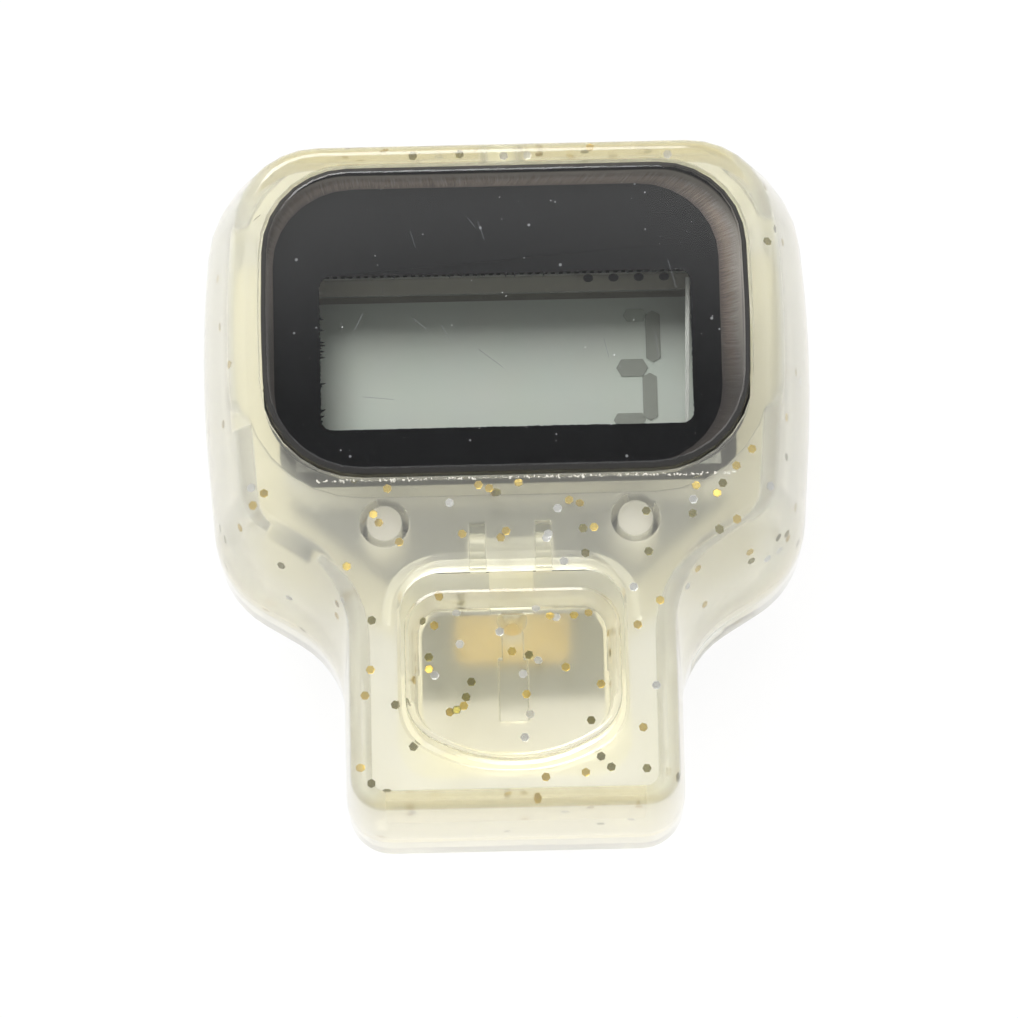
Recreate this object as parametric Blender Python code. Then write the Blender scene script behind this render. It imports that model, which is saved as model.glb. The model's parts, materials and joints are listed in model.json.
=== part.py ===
"""Digital tally counter with a clear housing and a D-shaped thumb button.

The counter lies on its back: X to the right, Y towards the top of the display, Z out of the face.
Every piece is its own object, at its real size in metres, where it sits in the closed counter.
"""
import math

import bmesh
import bpy
from mathutils import Matrix, Vector

MM = 0.001

# Housing at the seam, where it is widest
BODY_LENGTH = 35.0 * MM
HEAD_WIDTH = 31.6 * MM
HEAD_TAPER = 0.85 * MM
WIDEST_FROM_TOP = 10.5 * MM
SHOULDER_BELOW_FACE_SHOULDER = 2.25 * MM
NECK_BELOW_SHOULDER = 3.9 * MM
STEM_WIDTH = 17.2 * MM
TOP_RADIUS = 5.0 * MM
SIDE_RADIUS = 60.0 * MM
SHOULDER_RADIUS = 5.0 * MM
NECK_RADIUS = 5.0 * MM
FOOT_RADIUS = 2.2 * MM

# The face, a smaller outline of the same kind
END_FLARE = 0.5 * MM
HEAD_FLARE = 1.95 * MM
STEM_FLARE = 0.45 * MM
FACE_TAPER = 0.65 * MM
FACE_SHOULDER_BELOW_LENS = 1.7 * MM
FACE_NECK_BELOW_SHOULDER = 3.3 * MM
FACE_TOP_RADIUS = 4.2 * MM
FACE_SHOULDER_RADIUS = 2.6 * MM
FACE_NECK_RADIUS = 4.8 * MM
FACE_FOOT_RADIUS = 1.6 * MM

# Depth and walls
BODY_DEPTH = 13.0 * MM
SEAM_Z = 5.0 * MM
SIDE_WALL = 1.1 * MM
FACE_WALL = 1.2 * MM
BACK_WALL = 1.2 * MM
FACE_EDGE_RADIUS = 0.6 * MM
BACK_EDGE_RADIUS = 1.2 * MM
LIP_HEIGHT = 0.8 * MM
LIP_THICK = 0.5 * MM
LIP_GAP = 0.2 * MM

# Lens, mask and the ledge they sit on
LENS_SIDE_RIM = 1.5 * MM
LENS_TOP_RIM = 1.2 * MM
LENS_THICK = 1.4 * MM
LENS_PROUD = 0.3 * MM
LENS_GAP = 0.15 * MM
LENS_TAPER = 0.2 * MM
LENS_TOP_RADIUS = 4.4 * MM
LENS_LOW_RADIUS = 5.0 * MM
LENS_EDGE_BEVEL = 0.25 * MM
LEDGE_WIDTH = 1.0 * MM
LEDGE_THICK = 0.9 * MM
SEAT_WALL = 1.0 * MM
MASK_THICK = 0.12 * MM
MASK_FROM_LENS_SIDE = 1.4 * MM
MASK_FROM_LENS_END = 0.5 * MM
MASK_RADIUS = 4.0 * MM
MASK_OFFSET_X = -0.25 * MM
WINDOW_HEIGHT = 8.0 * MM
WINDOW_FROM_MASK_SIDE = 1.55 * MM
WINDOW_FROM_MASK_TOP = 4.95 * MM
WINDOW_FROM_MASK_FOOT = 1.95 * MM
WINDOW_RADIUS = 0.6 * MM

# Display cell, its frame and the connector strip
GLASS_BESIDE_WINDOW = 1.1 * MM
GLASS_ABOVE_WINDOW = 2.25 * MM
GLASS_BELOW_WINDOW = 1.75 * MM
GLASS_THICK = 0.7 * MM
GLASS_LEDGE = 1.6 * MM
POLARISER_THICK = 0.2 * MM
POLARISER_INSET = 0.3 * MM
POLARISER_TOP_INSET = 2.9 * MM
GLASS_BELOW_SEAT = 0.7 * MM
FRAME_WALL = 0.8 * MM
FRAME_GAP = 0.2 * MM
FRAME_LEDGE = 1.0 * MM
FRAME_RADIUS = 1.6 * MM
STRIP_WIDTH = 1.2 * MM
STRIP_FROM_EDGE = 0.15 * MM
STRIP_END_INSET = 0.5 * MM

# Circuit board and what is soldered on it
BOARD_THICK = 0.8 * MM
BOARD_GAP = 0.3 * MM
TONGUE_WIDTH = 10.2 * MM
TONGUE_PAST_FILM = 0.25 * MM
TONGUE_RADIUS = 0.6 * MM
BLOB_RADIUS = 3.0 * MM
BLOB_HEIGHT = 1.3 * MM
BLOB_X = -3.5 * MM
CAPACITOR_SIZE = (2.0 * MM, 1.25 * MM, 0.9 * MM)
RESISTOR_SIZE = (1.6 * MM, 0.8 * MM, 0.45 * MM)
CHIP_X = 4.5 * MM
CHIP_PITCH = 2.6 * MM

# Button cell and its contacts
CELL_DIAMETER = 11.6 * MM
CELL_HEIGHT = 3.05 * MM
CELL_CAP_HEIGHT = 0.3 * MM
CELL_CAP_MARGIN = 0.8 * MM
CELL_FROM_TOP = 11.0 * MM
CELL_GAP = 0.3 * MM
CELL_RING_WALL = 0.8 * MM
CELL_RING_HEIGHT = 2.0 * MM
CONTACT_ROOM = 0.8 * MM
CONTACT_THICK = 0.2 * MM
CONTACT_WIDTH = 3.0 * MM
CONTACT_FOOT = 1.6 * MM
CONTACT_GAP = 0.1 * MM

# Posts, screws and strap bars
POST_X = 6.3 * MM
POST_BELOW_LENS = 2.3 * MM
POST_DIAMETER = 2.5 * MM
PIN_DIAMETER = 1.5 * MM
PIN_GAP = 0.15 * MM
SCREW_FROM_EDGE = 3.1 * MM
SCREW_DIAMETER = 1.4 * MM
SCREW_HEAD_DIAMETER = 2.4 * MM
SCREW_HEAD_HEIGHT = 0.8 * MM
SCREW_HEAD_DEPTH = 1.4 * MM
SCREW_LENGTH = 7.0 * MM
SCREW_GAP = 0.15 * MM
SCREW_BOSS_WALL = 0.55 * MM
SCREW_BOSS_HEIGHT = 4.0 * MM
STRAP_WIDTH = 8.5 * MM
STRAP_SLOT = 1.6 * MM
STRAP_BAR = 1.6 * MM
STRAP_FROM_SIDE = 3.2 * MM

# Thumb button
OPENING_WIDTH = 11.2 * MM
OPENING_BELOW_LENS = 4.85 * MM
OPENING_FROM_FOOT = 2.4 * MM
OPENING_TOP_RADIUS = 2.0 * MM
OPENING_LOW_RADIUS = 2.5 * MM
OPENING_END_RISE = 1.75 * MM
OPENING_END_FROM_SIDE = 3.45 * MM
OPENING_BEVEL_DEPTH = 0.55 * MM
OPENING_BEVEL_TOP = 0.8 * MM
OPENING_BEVEL_SIDE = 0.15 * MM
BUTTON_SIDE_GAP = 0.2 * MM
BUTTON_TOP_GAP = 1.15 * MM
BUTTON_LOW_GAP = 0.35 * MM
BUTTON_PROUD = 0.45 * MM
BUTTON_RIM = 0.45 * MM
BUTTON_RIM_SHIFT = 0.15 * MM
BUTTON_RIM_ROUND = 0.1 * MM
BUTTON_DISH_DEPTH = 1.15 * MM
BUTTON_DISH_SLOPE = 0.32 * MM
BUTTON_DISH_SHIFT = 0.38 * MM
BUTTON_FLOOR = 1.25 * MM
BUTTON_SKIRT = 0.3 * MM
STOP_REACH = 0.45 * MM
STOP_THICK = 0.45 * MM
PIVOT_FROM_OPENING = 1.35 * MM
PIVOT_BELOW_WALL = 0.9 * MM
PIVOT_DIAMETER = 1.0 * MM
PIVOT_WIDTH = 4.4 * MM
PIVOT_GAP = 0.15 * MM
SADDLE_WIDTH = 0.8 * MM
SADDLE_WALL = 0.5 * MM
SADDLE_MOUTH = 0.8 * MM
ARM_WIDTH = 2.2 * MM
ARM_THICK = 0.7 * MM
RIB_WIDTH = 1.05 * MM
RIB_WIDE_WIDTH = 1.45 * MM
RIB_DEPTH = 0.9 * MM
RIB_WIDE_LENGTH = 3.2 * MM
RIB_FROM_FOOT = 2.25 * MM
PLUNGER_DIAMETER = 0.9 * MM
PLUNGER_ROOT_DIAMETER = 1.5 * MM
PLUNGER_FROM_PIVOT = 3.8 * MM
PLUNGER_GAP = 0.12 * MM

# Snap dome under its film
DOME_LENGTH = 4.0 * MM
DOME_WIDTH = 2.2 * MM
DOME_HEIGHT = 0.3 * MM
DOME_THICK = 0.1 * MM
FILM_LENGTH = 5.8 * MM
FILM_WIDTH = 2.8 * MM
FILM_THICK = 0.12 * MM
FILM_GAP = 0.05 * MM
DOME_FROM_PLUNGER = 0.15 * MM

# Reset button in the top edge, and its switch
RESET_ABOVE_BOARD = 1.9 * MM
RESET_DIAMETER = 2.0 * MM
RESET_GAP = 0.2 * MM
RESET_SUNK = 0.2 * MM
RESET_FLANGE_DIAMETER = 3.0 * MM
RESET_FLANGE_THICK = 0.45 * MM
RESET_FLANGE_GAP = 0.35 * MM
SWITCH_SIZE = (4.6 * MM, 1.25 * MM, 3.0 * MM)
SWITCH_STEM_SIZE = (1.5 * MM, 0.8 * MM, 0.9 * MM)
SWITCH_STEM_OUT = 0.35 * MM
SWITCH_GAP = 0.15 * MM
SWITCH_POCKET = 0.8 * MM

# Roundness of the meshes
CORNER_STEPS = 7
DEPTH_STEPS = 7
EDGE_STEPS = 3
ROUND_SIDES = 32
CUT_PAST = 0.5 * MM
WELD = 0.3 * MM
LEAST_RADIUS = 0.1 * MM

# Levels that follow from the sizes above
TOP_Y = BODY_LENGTH / 2
FOOT_Y = -BODY_LENGTH / 2
WIDEST_Y = TOP_Y - WIDEST_FROM_TOP
CELL_Y = TOP_Y - CELL_FROM_TOP
FACE_TOP_Y = TOP_Y - END_FLARE
FACE_FOOT_Y = FOOT_Y + END_FLARE
FACE_HEAD_HALF = HEAD_WIDTH / 2 - HEAD_FLARE
FACE_INSIDE_Z = BODY_DEPTH - FACE_WALL
LENS_BACK_Z = BODY_DEPTH + LENS_PROUD - LENS_THICK
LEDGE_Z = LENS_BACK_Z - MASK_THICK
SEAT_Z = LEDGE_Z - LEDGE_THICK
LENS_TOP_Y = FACE_TOP_Y - LENS_TOP_RIM
LENS_HALF = FACE_HEAD_HALF - LENS_SIDE_RIM
MASK_TOP_Y = LENS_TOP_Y - MASK_FROM_LENS_END
MASK_HALF = LENS_HALF - MASK_FROM_LENS_SIDE
WINDOW_TOP_Y = MASK_TOP_Y - WINDOW_FROM_MASK_TOP
WINDOW_LOW_Y = WINDOW_TOP_Y - WINDOW_HEIGHT
WINDOW_Y = (WINDOW_TOP_Y + WINDOW_LOW_Y) / 2
WINDOW_HALF = MASK_HALF - WINDOW_FROM_MASK_SIDE
MASK_LOW_Y = WINDOW_LOW_Y - WINDOW_FROM_MASK_FOOT
LENS_LOW_Y = MASK_LOW_Y - MASK_FROM_LENS_END
FACE_SHOULDER_Y = LENS_LOW_Y - FACE_SHOULDER_BELOW_LENS
FACE_NECK_Y = FACE_SHOULDER_Y - FACE_NECK_BELOW_SHOULDER
SHOULDER_Y = FACE_SHOULDER_Y - SHOULDER_BELOW_FACE_SHOULDER
NECK_Y = SHOULDER_Y - NECK_BELOW_SHOULDER
POST_Y = LENS_LOW_Y - POST_BELOW_LENS
GLASS_HALF = WINDOW_HALF + GLASS_BESIDE_WINDOW
GLASS_TOP_Y = WINDOW_TOP_Y + GLASS_ABOVE_WINDOW
GLASS_LOW_Y = WINDOW_LOW_Y - GLASS_BELOW_WINDOW
POLARISER_FRONT_Z = SEAT_Z - GLASS_BELOW_SEAT
GLASS_FRONT_Z = POLARISER_FRONT_Z - POLARISER_THICK
CRYSTAL_Z = GLASS_FRONT_Z - GLASS_THICK
GLASS_REAR_Z = CRYSTAL_Z - GLASS_THICK
REFLECTOR_Z = GLASS_REAR_Z - POLARISER_THICK
STRIP_TOP_Y = GLASS_TOP_Y - STRIP_FROM_EDGE
STRIP_LOW_Y = STRIP_TOP_Y - STRIP_WIDTH
BOARD_LOW_Z = BACK_WALL + CELL_HEIGHT + CONTACT_ROOM
BOARD_Z = BOARD_LOW_Z + BOARD_THICK
LIP_INSET = SIDE_WALL + LIP_GAP
BACK_INSET = LIP_INSET + LIP_THICK
BOARD_INSET = BACK_INSET + BOARD_GAP
SCREW_X = HEAD_WIDTH / 2 - HEAD_TAPER - SCREW_FROM_EDGE
SCREW_Y = TOP_Y - SCREW_FROM_EDGE
SCREW_BOSS_RADIUS = SCREW_DIAMETER / 2 + SCREW_GAP + SCREW_BOSS_WALL
SCREW_TUBE_RADIUS = SCREW_HEAD_DIAMETER / 2 + SCREW_GAP + SCREW_BOSS_WALL
OPENING_TOP_Y = LENS_LOW_Y - OPENING_BELOW_LENS
OPENING_LOW_Y = FOOT_Y + OPENING_FROM_FOOT
BUTTON_TOP_Y = OPENING_TOP_Y - BUTTON_TOP_GAP
BUTTON_LOW_Y = OPENING_LOW_Y + BUTTON_LOW_GAP
BUTTON_HALF = OPENING_WIDTH / 2 - BUTTON_SIDE_GAP
END_ROOM = BUTTON_TOP_Y - BUTTON_LOW_Y - OPENING_TOP_RADIUS - 2 * LEAST_RADIUS
END_RISE = min(OPENING_END_RISE, END_ROOM / 2)
END_CORNER_RADIUS = min(OPENING_LOW_RADIUS, END_ROOM - END_RISE)
END_TURN = math.atan2(END_RISE, OPENING_END_FROM_SIDE)
END_ARC_RADIUS = (BUTTON_HALF - OPENING_END_FROM_SIDE - LEAST_RADIUS) / math.tan(END_TURN / 2)
BUTTON_Z = BODY_DEPTH + BUTTON_PROUD
BUTTON_FLOOR_Z = BUTTON_Z - BUTTON_DISH_DEPTH
BUTTON_UNDER_Z = BUTTON_FLOOR_Z - BUTTON_FLOOR
PIVOT_Y = OPENING_TOP_Y + PIVOT_FROM_OPENING
PIVOT_Z = FACE_INSIDE_Z - PIVOT_BELOW_WALL
PLUNGER_Y = PIVOT_Y - PLUNGER_FROM_PIVOT
DOME_Y = PLUNGER_Y + DOME_FROM_PLUNGER
TONGUE_END_Y = DOME_Y - FILM_LENGTH / 2 - TONGUE_PAST_FILM
FILM_TOP_Z = BOARD_Z + DOME_HEIGHT + FILM_GAP + FILM_THICK
RESET_Z = BOARD_Z + RESET_ABOVE_BOARD
RESET_FLANGE_Y = TOP_Y - SIDE_WALL - RESET_FLANGE_GAP


def clear_scene():
    for old in list(bpy.data.objects):
        bpy.data.objects.remove(old, do_unlink=True)


def material(name, color, roughness, metallic=0.0, transmission=0.0):
    made = bpy.data.materials.new(name)
    made.use_nodes = True
    shader = made.node_tree.nodes["Principled BSDF"]
    shader.inputs["Base Color"].default_value = (*color, 1.0)
    shader.inputs["Roughness"].default_value = roughness
    shader.inputs["Metallic"].default_value = metallic
    shader.inputs["Transmission Weight"].default_value = transmission
    return made


# Outlines

def mix(a, b, share):
    """Corners between two outlines that have the same corners."""
    return [tuple(p + (q - p) * share for p, q in zip(one, other)) for one, other in zip(a, b)]


def ring(corners, inset=0.0, centre=(0.0, 0.0)):
    """Points of a closed outline, symmetrical about its centre line, with every corner rounded.

    corners runs down the right side, each as x, y and radius. A positive inset draws the outline in.
    """
    right = [(Vector((x, y)), r) for x, y, r in corners]
    left = [(Vector((-x, y)), r) for x, y, r in reversed(corners)]
    loop = right + left
    points = []
    for index, (corner, radius) in enumerate(loop):
        before = (corner - loop[index - 1][0]).normalized()
        after = (loop[(index + 1) % len(loop)][0] - corner).normalized()
        in_before = Vector((before.y, -before.x))
        in_after = Vector((after.y, -after.x))
        moved = corner + (in_before + in_after) * inset / (1.0 + in_before.dot(in_after))
        turn = before.angle_signed(after)
        outward = turn > 0.0
        round_by = max(radius - inset, LEAST_RADIUS) if outward else radius + inset
        side = in_before if outward else -in_before
        start = moved - before * round_by * math.tan(abs(turn) / 2)
        hub = start + side * round_by
        for step in range(CORNER_STEPS + 1):
            swing = Matrix.Rotation(-turn * step / CORNER_STEPS, 2)
            point = hub + swing @ (start - hub)
            points.append((point.x + centre[0], point.y + centre[1]))
    return points


def rectangle(width, height, radius):
    """Corners of a rectangle about the origin, for ring()."""
    return [(width / 2, height / 2, radius), (width / 2, -height / 2, radius)]


def circle(radius, centre, sides=ROUND_SIDES):
    turns = (2 * math.pi * i / sides for i in range(sides))
    return [(centre[0] + radius * math.cos(a), centre[1] + radius * math.sin(a)) for a in turns]


# Solids

def add_object(name, bm, finish=None):
    bmesh.ops.recalc_face_normals(bm, faces=bm.faces)
    mesh = bpy.data.meshes.new(name)
    bm.to_mesh(mesh)
    bm.free()
    mesh.shade_smooth()
    mesh.set_sharp_from_angle(angle=math.radians(30))
    made = bpy.data.objects.new(name, mesh)
    bpy.context.scene.collection.objects.link(made)
    if finish:
        mesh.materials.append(finish)
    return made


def add_loft(bm, rings):
    """A closed solid through rings of equal length, each given as z and its points."""
    levels = [[bm.verts.new((x, y, z)) for x, y in points] for z, points in rings]
    for low, high in zip(levels, levels[1:]):
        for i in range(len(low)):
            j = (i + 1) % len(low)
            bm.faces.new((low[i], low[j], high[j], high[i]))
    bm.faces.new(levels[0])
    bm.faces.new(levels[-1])


def loft(name, rings, finish=None):
    bm = bmesh.new()
    add_loft(bm, rings)
    return add_object(name, bm, finish)


def plate(name, points, low, high, finish=None):
    return loft(name, [(low, points), (high, points)], finish)


def add_block(bm, x, y, z):
    size = Matrix.Diagonal((x[1] - x[0], y[1] - y[0], z[1] - z[0], 1.0))
    middle = Matrix.Translation((sum(x) / 2, sum(y) / 2, sum(z) / 2))
    bmesh.ops.create_cube(bm, size=1.0, matrix=middle @ size)


def block(name, x, y, z, finish=None):
    bm = bmesh.new()
    add_block(bm, x, y, z)
    return add_object(name, bm, finish)


def add_rod(bm, radius, start, end, end_radius=None):
    run = Vector(end) - Vector(start)
    aim = run.to_track_quat("Z", "Y").to_matrix().to_4x4()
    middle = Matrix.Translation((Vector(start) + Vector(end)) / 2)
    bmesh.ops.create_cone(bm, cap_ends=True, segments=ROUND_SIDES, radius1=radius,
                          radius2=end_radius or radius, depth=run.length, matrix=middle @ aim)


def rods(name, radius, runs, finish=None):
    """Rods of one radius, each given by its two ends, kept as one object."""
    bm = bmesh.new()
    for start, end in runs:
        add_rod(bm, radius, start, end)
    return add_object(name, bm, finish)


def turned(name, profile, centre, finish=None):
    """A round solid from radius and z pairs."""
    return loft(name, [(z, circle(radius, centre)) for radius, z in profile], finish)


def strip(name, profile, width, finish):
    """A flat strip bent along y and z pairs, as wide as width about the centre line."""
    bm = bmesh.new()
    near = [bm.verts.new((-width / 2, y, z)) for y, z in profile]
    far = [bm.verts.new((width / 2, y, z)) for y, z in profile]
    for i in range(len(near)):
        j = (i + 1) % len(near)
        bm.faces.new((near[i], near[j], far[j], far[i]))
    bm.faces.new(near)
    bm.faces.new(far)
    return add_object(name, bm, finish)


def combine(target, tool, operation):
    step = target.modifiers.new(tool.name, "BOOLEAN")
    step.operation = operation
    step.object = tool
    step.solver = "EXACT"
    tool.hide_render = True
    tool.display_type = "WIRE"


def join(target, *tools):
    for tool in tools:
        combine(target, tool, "UNION")


def cut(target, *tools):
    for tool in tools:
        combine(target, tool, "DIFFERENCE")


def round_edges(target, width, segments=2, angle=40):
    step = target.modifiers.new("round_edges", "BEVEL")
    step.width = width
    step.segments = segments
    step.limit_method = "ANGLE"
    step.angle_limit = math.radians(angle)


def set_origin(target, point):
    """Moves the object's origin without moving the object."""
    target.data.transform(Matrix.Translation(-Vector(point)))
    target.location = point


def both_sides(x, y, low, high):
    """The two mirrored runs of an upright rod."""
    return [((side * x, y, low), (side * x, y, high)) for side in (-1, 1)]


# Housing outline

def seam_corners():
    half = HEAD_WIDTH / 2
    return [(half - HEAD_TAPER, TOP_Y, TOP_RADIUS),
            (half, WIDEST_Y, SIDE_RADIUS),
            (half - HEAD_TAPER, SHOULDER_Y, SHOULDER_RADIUS),
            (STEM_WIDTH / 2, NECK_Y, NECK_RADIUS),
            (STEM_WIDTH / 2, FOOT_Y, FOOT_RADIUS)]


def face_corners():
    half = FACE_HEAD_HALF
    stem = STEM_WIDTH / 2 - STEM_FLARE
    return [(half - FACE_TAPER, FACE_TOP_Y, FACE_TOP_RADIUS),
            (half, WIDEST_Y, SIDE_RADIUS),
            (half - FACE_TAPER, FACE_SHOULDER_Y, FACE_SHOULDER_RADIUS),
            (stem, FACE_NECK_Y, FACE_NECK_RADIUS),
            (stem, FACE_FOOT_Y, FACE_FOOT_RADIUS)]


def housing_ring(z, inset=0.0):
    """The housing flares from the face to the seam in a quarter wave, then keeps its width."""
    below_face = min(max((BODY_DEPTH - z) / (BODY_DEPTH - SEAM_Z), 0.0), 1.0)
    flare = math.sin(below_face * math.pi / 2)
    return ring(mix(face_corners(), seam_corners(), flare), inset)


def rounded_end(edge_z, radius, into):
    """Rings round the edge of a face at edge_z; into is the way from the face into the body."""
    rings = []
    for step in range(EDGE_STEPS + 1):
        angle = math.pi / 2 * step / EDGE_STEPS
        z = edge_z + into * radius * (1 - math.cos(angle))
        rings.append((z, housing_ring(z, radius * (1 - math.sin(angle)))))
    return rings


def levels(low, high, steps):
    return [low + (high - low) * i / steps for i in range(steps + 1)]


# Outlines that belong to the lens and the button

def lens_ring(inset=0.0):
    corners = [(LENS_HALF - LENS_TAPER, LENS_TOP_Y, LENS_TOP_RADIUS),
               (LENS_HALF, (LENS_TOP_Y + LENS_LOW_Y) / 2, SIDE_RADIUS),
               (LENS_HALF - LENS_TAPER, LENS_LOW_Y, LENS_LOW_RADIUS)]
    return ring(corners, inset)


def thumb_corners(half, top_y, low_y, top_radius=OPENING_TOP_RADIUS):
    """A squarish D: straight sides, and below two rounded corners a shallow arc to the centre line."""
    return [(half, top_y, top_radius),
            (half, low_y + END_RISE, END_CORNER_RADIUS),
            (half - OPENING_END_FROM_SIDE, low_y, END_ARC_RADIUS)]


def opening_ring(top_grow=0.0, side_grow=0.0):
    return ring(thumb_corners(OPENING_WIDTH / 2 + side_grow, OPENING_TOP_Y + top_grow,
                              OPENING_LOW_Y - side_grow, OPENING_TOP_RADIUS + top_grow))


def button_ring(inset=0.0, shift=0.0):
    """A shift moves the outline towards the foot."""
    return ring(thumb_corners(BUTTON_HALF, BUTTON_TOP_Y, BUTTON_LOW_Y), inset, (0.0, -shift))


# Housing

def build_front_shell(finish):
    sides = levels(BODY_DEPTH - FACE_EDGE_RADIUS, SEAM_Z, DEPTH_STEPS)
    outer = rounded_end(BODY_DEPTH, FACE_EDGE_RADIUS, -1)
    outer += [(z, housing_ring(z)) for z in sides[1:]]
    shell = loft("front_shell", outer, finish)

    inside = levels(FACE_INSIDE_Z, SEAM_Z, DEPTH_STEPS) + [SEAM_Z - CUT_PAST]
    cut(shell, loft("front_cavity", [(z, housing_ring(z, SIDE_WALL)) for z in inside]))

    join(shell, plate("lens_seat", lens_ring(-SEAT_WALL), SEAT_Z, FACE_INSIDE_Z + WELD))
    cut(shell,
        plate("lens_recess", lens_ring(-LENS_GAP), LEDGE_Z, BODY_DEPTH + CUT_PAST),
        plate("view_hole", lens_ring(LEDGE_WIDTH), SEAT_Z - CUT_PAST, LEDGE_Z + CUT_PAST))

    bevel_z = BODY_DEPTH - OPENING_BEVEL_DEPTH
    grown = opening_ring(OPENING_BEVEL_TOP, OPENING_BEVEL_SIDE)
    cut(shell, loft("button_opening", [(FACE_INSIDE_Z - CUT_PAST, opening_ring()), (bevel_z, opening_ring()),
                                       (BODY_DEPTH, grown), (BODY_DEPTH + CUT_PAST, grown)]))

    posts = both_sides(POST_X, POST_Y, BOARD_Z, FACE_INSIDE_Z + WELD)
    bores = both_sides(POST_X, POST_Y, BOARD_Z - CUT_PAST, FACE_INSIDE_Z - WELD)
    join(shell, rods("front_posts", POST_DIAMETER / 2, posts))
    cut(shell, rods("post_bores", PIN_DIAMETER / 2 + PIN_GAP, bores))

    boss_top = SEAM_Z + SCREW_BOSS_HEIGHT
    bosses = both_sides(SCREW_X, SCREW_Y, SEAM_Z, boss_top)
    pilots = both_sides(SCREW_X, SCREW_Y, SEAM_Z - CUT_PAST, boss_top - WELD)
    join(shell, rods("screw_bosses", SCREW_BOSS_RADIUS, bosses))
    cut(shell, rods("screw_pilots", SCREW_DIAMETER / 2 + SCREW_GAP, pilots))

    for side, name in ((-1, "left"), (1, "right")):
        join(shell, build_saddle("saddle_" + name, side))

    reset_run = ((0, RESET_FLANGE_Y, RESET_Z), (0, BODY_LENGTH, RESET_Z))
    cut(shell, rods("reset_hole", RESET_DIAMETER / 2 + RESET_GAP, [reset_run]))
    return shell


def build_saddle(name, side):
    """A lug under the face that the button's cross-bar clips into from behind."""
    hole = PIVOT_DIAMETER / 2 + PIVOT_GAP
    inner = ARM_WIDTH / 2 + PIVOT_GAP
    x = sorted((side * inner, side * (inner + SADDLE_WIDTH)))
    reach = hole + SADDLE_WALL
    lug = block(name, x, (PIVOT_Y - reach, PIVOT_Y + reach), (PIVOT_Z - hole, FACE_INSIDE_Z + WELD))
    across = [((x[0] - CUT_PAST, PIVOT_Y, PIVOT_Z), (x[1] + CUT_PAST, PIVOT_Y, PIVOT_Z))]
    cut(lug, rods(name + "_hole", hole, across),
        block(name + "_mouth", (x[0] - CUT_PAST, x[1] + CUT_PAST),
              (PIVOT_Y - SADDLE_MOUTH / 2, PIVOT_Y + SADDLE_MOUTH / 2),
              (PIVOT_Z - hole - CUT_PAST, PIVOT_Z)))
    return lug


def build_back_shell(finish):
    outer = rounded_end(0.0, BACK_EDGE_RADIUS, 1) + [(SEAM_Z, housing_ring(SEAM_Z))]
    shell = loft("back_shell", outer, finish)
    lip_top = SEAM_Z + LIP_HEIGHT
    join(shell, plate("lip", housing_ring(SEAM_Z, LIP_INSET), SEAM_Z - WELD, lip_top))

    floor_radius = BACK_EDGE_RADIUS / 2
    cavity = [(BACK_WALL, housing_ring(SEAM_Z, BACK_INSET + floor_radius)),
              (BACK_WALL + floor_radius / 4, housing_ring(SEAM_Z, BACK_INSET + floor_radius / 4)),
              (BACK_WALL + floor_radius, housing_ring(SEAM_Z, BACK_INSET)),
              (lip_top + CUT_PAST, housing_ring(SEAM_Z, BACK_INSET))]
    cut(shell, loft("back_cavity", cavity))

    ring_inner = CELL_DIAMETER / 2 + CELL_GAP
    ring_top = BACK_WALL + CELL_RING_HEIGHT
    wall = turned("cell_ring", [(ring_inner + CELL_RING_WALL, BACK_WALL - WELD),
                                (ring_inner + CELL_RING_WALL, ring_top)], (0, CELL_Y))
    pocket = turned("cell_pocket", [(ring_inner, BACK_WALL), (ring_inner, ring_top + CUT_PAST)], (0, CELL_Y))
    notch = block("contact_notch", (0, ring_inner + CELL_RING_WALL + CUT_PAST),
                  (CELL_Y - CONTACT_WIDTH / 2 - CELL_GAP, CELL_Y + CONTACT_WIDTH / 2 + CELL_GAP),
                  (BACK_WALL, ring_top + CUT_PAST))
    join(shell, wall)
    cut(shell, pocket, notch)

    stands = both_sides(POST_X, POST_Y, BACK_WALL - WELD, BOARD_LOW_Z)
    pins = both_sides(POST_X, POST_Y, BOARD_LOW_Z - WELD, FACE_INSIDE_Z - FACE_WALL)
    join(shell, rods("board_stands", POST_DIAMETER / 2, stands),
         rods("pins", PIN_DIAMETER / 2, pins))

    tubes = both_sides(SCREW_X, SCREW_Y, BACK_WALL - WELD, SEAM_Z)
    join(shell, rods("screw_tubes", SCREW_TUBE_RADIUS, tubes))
    through = both_sides(SCREW_X, SCREW_Y, -CUT_PAST, SEAM_Z + CUT_PAST)
    heads = both_sides(SCREW_X, SCREW_Y, -CUT_PAST, SCREW_HEAD_DEPTH)
    room = both_sides(SCREW_X, SCREW_Y, SEAM_Z, lip_top + CUT_PAST)
    cut(shell, rods("boss_room", SCREW_BOSS_RADIUS + LIP_GAP, room),
        rods("screw_holes", SCREW_DIAMETER / 2 + SCREW_GAP, through),
        rods("head_recesses", SCREW_HEAD_DIAMETER / 2 + SCREW_GAP, heads))

    cut(shell, build_strap_slots())
    return shell


def build_strap_slots():
    """Two slots on each side, with the bar between them that a finger strap goes round."""
    reach = HEAD_WIDTH / 2 - STRAP_FROM_SIDE - STRAP_SLOT / 2
    slot = rectangle(STRAP_SLOT, STRAP_WIDTH, STRAP_SLOT * 0.45)
    bm = bmesh.new()
    for side in (-1, 1):
        for x in (reach, reach - STRAP_SLOT - STRAP_BAR):
            points = ring(slot, 0.0, (side * x, WIDEST_Y))
            add_loft(bm, [(-CUT_PAST, points), (BACK_WALL + 2 * CUT_PAST, points)])
    return add_object("strap_slots", bm)


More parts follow.
